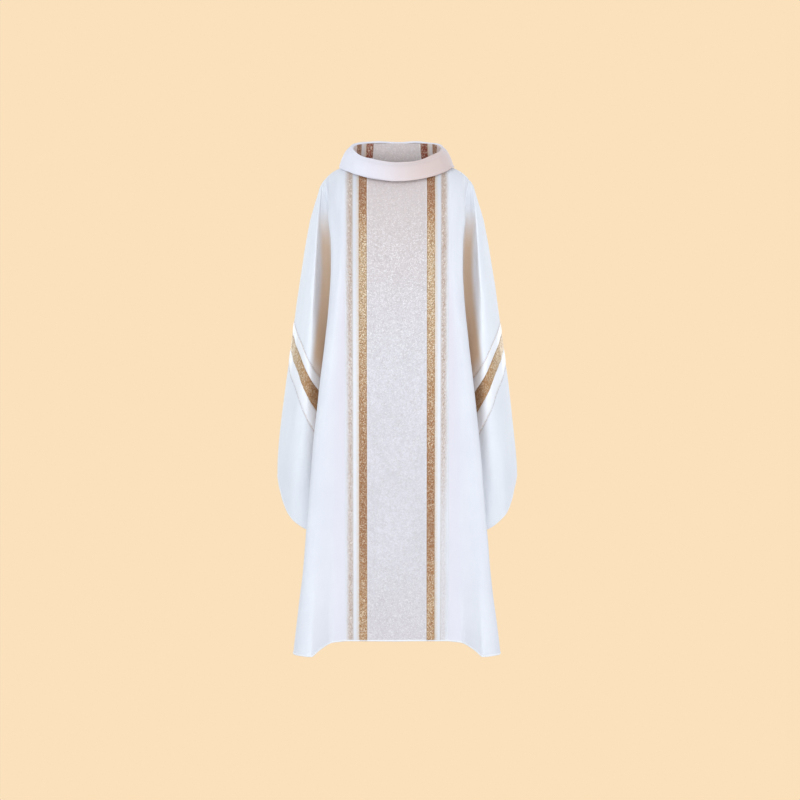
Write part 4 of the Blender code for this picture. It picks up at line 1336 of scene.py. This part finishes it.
def stitches(name, points, normals, spacing, length, radius, material, slant=0.0):
    """A row of thread stitches, half sunk into the cloth."""
    run = run_length(points)
    at = np.arange(spacing, run[-1] - spacing, spacing)

    def sample(values, where):
        return np.stack([np.interp(where, run, values[:, k]) for k in range(3)], -1)

    centre = sample(points, at)
    normal = unit(sample(normals, at))
    forward = unit(sample(points, at + 5e-4) - sample(points, at - 5e-4))
    aim = forward * math.cos(slant) + np.cross(normal, forward) * math.sin(slant)
    across = np.cross(normal, aim)
    # one stitch, in shares of its length and radius: two tips and three rings between them
    rings, sides = ((-0.34, 0.8), (0.0, 1.0), (0.34, 0.8)), 5
    local = [(-0.5, 0.0, 0.0)]
    for place, size in rings:
        for k in range(sides):
            angle = 2 * math.pi * k / sides
            local.append((place, size * math.cos(angle), size * math.sin(angle) * 0.9))
    local.append((0.5, 0.0, 0.0))
    local = np.array(local)[None, :, :, None]
    verts = (centre[:, None] + aim[:, None] * (local[:, :, 0] * length)
             + across[:, None] * (local[:, :, 1] * radius)
             + normal[:, None] * (local[:, :, 2] * radius))
    count = local.shape[1]
    last = 1 + (len(rings) - 1) * sides
    faces = []
    for k in range(sides):
        k2 = (k + 1) % sides
        faces.append((0, 1 + k2, 1 + k))
        for r in range(len(rings) - 1):
            low, high = 1 + r * sides, 1 + (r + 1) * sides
            faces.append((low + k, low + k2, high + k2, high + k))
        faces.append((count - 1, last + k, last + k2))
    faces = [tuple(i * count + v for v in face) for i in range(len(centre)) for face in faces]
    return raw_mesh(name, verts.reshape(-1, 3), faces, material)


def hem_edge(label, sheet):
    """The rolled hem, nearly to the valley of each side fold, and stitching 26 mm above it."""
    end = X_BEIGE + 5.5
    signed = np.concatenate([-np.linspace(end, X_BEIGE, 150),
                             np.linspace(-X_BEIGE, X_BEIGE, 110)[1:-1],
                             np.linspace(X_BEIGE, end, 150)])
    z = hem_at(np.abs(signed))
    points, normals = on_panel(sheet, signed, z, OUT - CLOTH / 2)
    points[:, 2] += 0.0014
    keep(roll(f"{label}_hem_roll", points, normals, half_thick=0.0013, half_high=0.0024),
         "white_cloth")
    stitched = np.abs(signed) <= X_BEIGE + 3.0
    signed = signed[stitched]
    points, normals = on_panel(sheet, signed, z[stitched] + 0.026,
                               band_lift(np.abs(signed)) + 0.00005)
    keep(stitches(f"{label}_hem_stitches", points, normals, spacing=0.0042, length=0.0029,
                  radius=0.00030, material=THREAD), "white_cloth")


def gold_stitches(label, sheet, hand, where):
    """A row of stitches just inside each edge of a gold ribbon."""
    for edge_name, x in (("inner", COLUMN_HALF + 0.0013), ("outer", X_GOLD - 0.0017)):
        z = np.linspace(neckline_z(sheet, x) - 0.004, HEM_MIDDLE + 0.005, 260)
        points, normals = on_panel(sheet, np.full(len(z), hand * x), z, OUT + RIBBON + 0.00004)
        keep(stitches(f"{label}_gold_stitches_{edge_name}_{where}", points, normals,
                      spacing=0.0036, length=0.0025, radius=0.00027, material=THREAD_GOLD,
                      slant=0.12), "gold_band")


def shoulder_seam(hand, where):
    """The seam along the ridge, from under the collar to the sleeve."""
    x = np.linspace(0.118, 0.1875, 40)
    z = along(RIDGE_FRONT, x) + 0.0004
    points = np.stack([hand * x, 0 * x, z], -1)
    normals = unit(np.stack([-hand * np.gradient(z, x), 0 * x, 1 + 0 * x], -1))
    keep(roll(f"shoulder_seam_{where}", points, normals, half_thick=0.0011, half_high=0.0022),
         "white_cloth")


def sleeve_path(hand, offset, lift):
    """A path round a sleeve's free edge, offset up from it: points and normals."""
    used = SLEEVE_STATIONS > 1.0
    stations = SLEEVE_STATIONS[used]
    heights = [sleeve_bottom_z(sheet, SLEEVE_STATIONS)[used] + offset for sheet in (FRONT, BACK)]

    def path(raised):
        return join_sheets(*(hang(sheet, SLEEVE_START + stations, height + raised)
                             for sheet, height in zip((FRONT, BACK), heights)))

    points = path(0.0)
    normals = unit(np.cross(np.gradient(points, axis=0), path(0.002) - points))
    if normals[len(normals) // 2][0] < 0:
        normals = -normals
    stations_round = join_sheets(stations, 12 - stations)
    across = np.interp(stations_round, SLEEVE_ROUND, SLEEVE_ACROSS)
    from_valley = np.minimum(stations_round, 12 - stations_round)
    relief = sleeve_relief(hand, across, join_sheets(*heights)) * smooth(from_valley / 0.8)
    points = points + normals * (relief + lift)[:, None]
    points[:, 0] *= hand
    normals[:, 0] *= hand
    return points, normals


def sleeve_edge(hand, where):
    """The rolled free edge of a sleeve, and the stitching 20 mm above it."""
    points, normals = sleeve_path(hand, offset=0.0013, lift=OUT - CLOTH / 2)
    edge = roll(f"{where}_sleeve_edge_roll", points, normals, half_thick=0.0011,
                half_high=0.0021)
    blend_sleeve(edge, hand, where, "white_cloth")
    points, normals = sleeve_path(hand, offset=0.020, lift=OUT + 0.00004)
    row = stitches(f"{where}_sleeve_edge_stitches", points, normals, spacing=0.0042,
                   length=0.0029, radius=0.00028, material=THREAD)
    blend_sleeve(row, hand, where, "white_cloth")


def collar_stitches(row, up):
    """A row of stitching round the collar, at a place up its profile."""
    angle, level_up = np.linspace(0, 2 * math.pi, 400), np.full(400, up)
    points = collar_profile(angle, level_up)
    above = collar_profile(angle, level_up + 0.01)
    normals = unit(np.cross(np.gradient(points, axis=0), above - points))
    normals *= side_of(np.einsum("ij,ij->i", normals, ring_outward(angle)))[:, None]
    points = points + normals * (collar_relief(angle, level_up) + 0.00005)[:, None]
    keep(stitches(f"collar_stitches_{row}", points, normals, spacing=0.0040, length=0.0028,
                  radius=0.00030, material=THREAD), "collar_cloth")


for label, sheet in SHEETS:
    hem_edge(label, sheet)
    for hand, where in SIDES:
        gold_stitches(label, sheet, hand, where)
for hand, where in SIDES:
    shoulder_seam(hand, where)
for hand, where in SIDES:
    sleeve_edge(hand, where)
collar_stitches("low", up=0.075)
collar_stitches("high", up=0.52)

# ------------------------------------------------------------------ stage, light, camera
PEACH = srgb(251, 225, 188)
FLOOR_Z, FLOOR_HALF, FLOOR_POINTS = -0.42, 9.0, 12


def shown_to_camera(tree, seen, lighting, target):
    """Mix two shaders so that the camera sees the first one and the light comes from the other."""
    path = tree.nodes.new("ShaderNodeLightPath")
    both = tree.nodes.new("ShaderNodeMixShader")
    tree.links.new(path.outputs["Is Camera Ray"], both.inputs[0])
    tree.links.new(lighting.outputs[0], both.inputs[1])
    tree.links.new(seen.outputs[0], both.inputs[2])
    tree.links.new(both.outputs[0], target)


def floor_paint():
    paint = bpy.data.materials.new("floor_paint")
    paint.use_nodes = True
    tree = paint.node_tree
    shader = tree.nodes["Principled BSDF"]
    shader.inputs["Base Color"].default_value = srgb(240, 220, 190)
    shader.inputs["Roughness"].default_value = 0.95
    shader.inputs["Specular IOR Level"].default_value = 0.0
    even = tree.nodes.new("ShaderNodeEmission")
    even.inputs[0].default_value = PEACH
    shown_to_camera(tree, even, shader, tree.nodes["Material Output"].inputs[0])
    return paint


def floor():
    line = np.linspace(-FLOOR_HALF, FLOOR_HALF, FLOOR_POINTS)
    verts = [(float(x), float(y), FLOOR_Z) for y in line for x in line]
    faces = [(k, k + 1, k + FLOOR_POINTS + 1, k + FLOOR_POINTS)
             for r in range(FLOOR_POINTS - 1)
             for k in range(r * FLOOR_POINTS, (r + 1) * FLOOR_POINTS - 1)]
    mesh = bpy.data.meshes.new("studio_floor")
    mesh.from_pydata(verts, [], faces)
    mesh.materials.append(floor_paint())
    ob = bpy.data.objects.new("studio_floor", mesh)
    bpy.context.scene.collection.objects.link(ob)
    ob.visible_diffuse = False
    ob.visible_glossy = False


def studio_world():
    world = bpy.data.worlds.new("studio")
    bpy.context.scene.world = world
    world.use_nodes = True
    tree = world.node_tree
    ambient = tree.nodes["Background"]
    ambient.inputs["Color"].default_value = (0.92, 0.965, 1.0, 1)
    ambient.inputs["Strength"].default_value = 0.67
    backdrop = tree.nodes.new("ShaderNodeBackground")
    backdrop.inputs["Color"].default_value = PEACH
    shown_to_camera(tree, backdrop, ambient, tree.nodes["World Output"].inputs[0])


def aim(ob, location, target):
    ob.location = location
    direction = Vector(target) - Vector(location)
    ob.rotation_euler = direction.to_track_quat("-Z", "Y").to_euler()
    bpy.context.scene.collection.objects.link(ob)


# name, place, height aimed at on the middle line, width, height, power, colour
LIGHTS = (
    ("key_left", (-3.4, -4.75, 2.8), 0.75, 2.7, 3.6, 98, (0.90, 0.96, 1.0)),
    ("key_right", (3.85, -4.45, 2.05), 0.7, 2.7, 3.6, 85, (0.96, 0.975, 1.0)),
    ("front_fill", (0.0, -4.4, 0.7), 0.6, 3.0, 2.0, 30, (0.93, 0.965, 1.0)),
    ("back_left", (-3.5, 4.9, 2.5), 0.7, 2.7, 3.6, 94, (0.93, 0.97, 1.0)),
    ("back_right", (3.85, 4.6, 2.05), 0.7, 2.7, 3.6, 86, (0.97, 0.98, 1.0)),
)

floor()
studio_world()
for name, location, target_z, width, height, power, colour in LIGHTS:
    light = bpy.data.lights.new(name, "AREA")
    light.shape = "RECTANGLE"
    light.size, light.size_y = width, height
    light.energy = power
    light.color = colour
    aim(bpy.data.objects.new(name, light), location, (0, 0, target_z))

camera = bpy.data.objects.new("camera", bpy.data.cameras.new("camera"))
aim(camera, (0.008, -4.2, 1.0), (0.008, 0.0, 0.64557))
camera.data.lens = 71.3
bpy.context.scene.camera = camera
bpy.context.scene.view_settings.view_transform = "Standard"
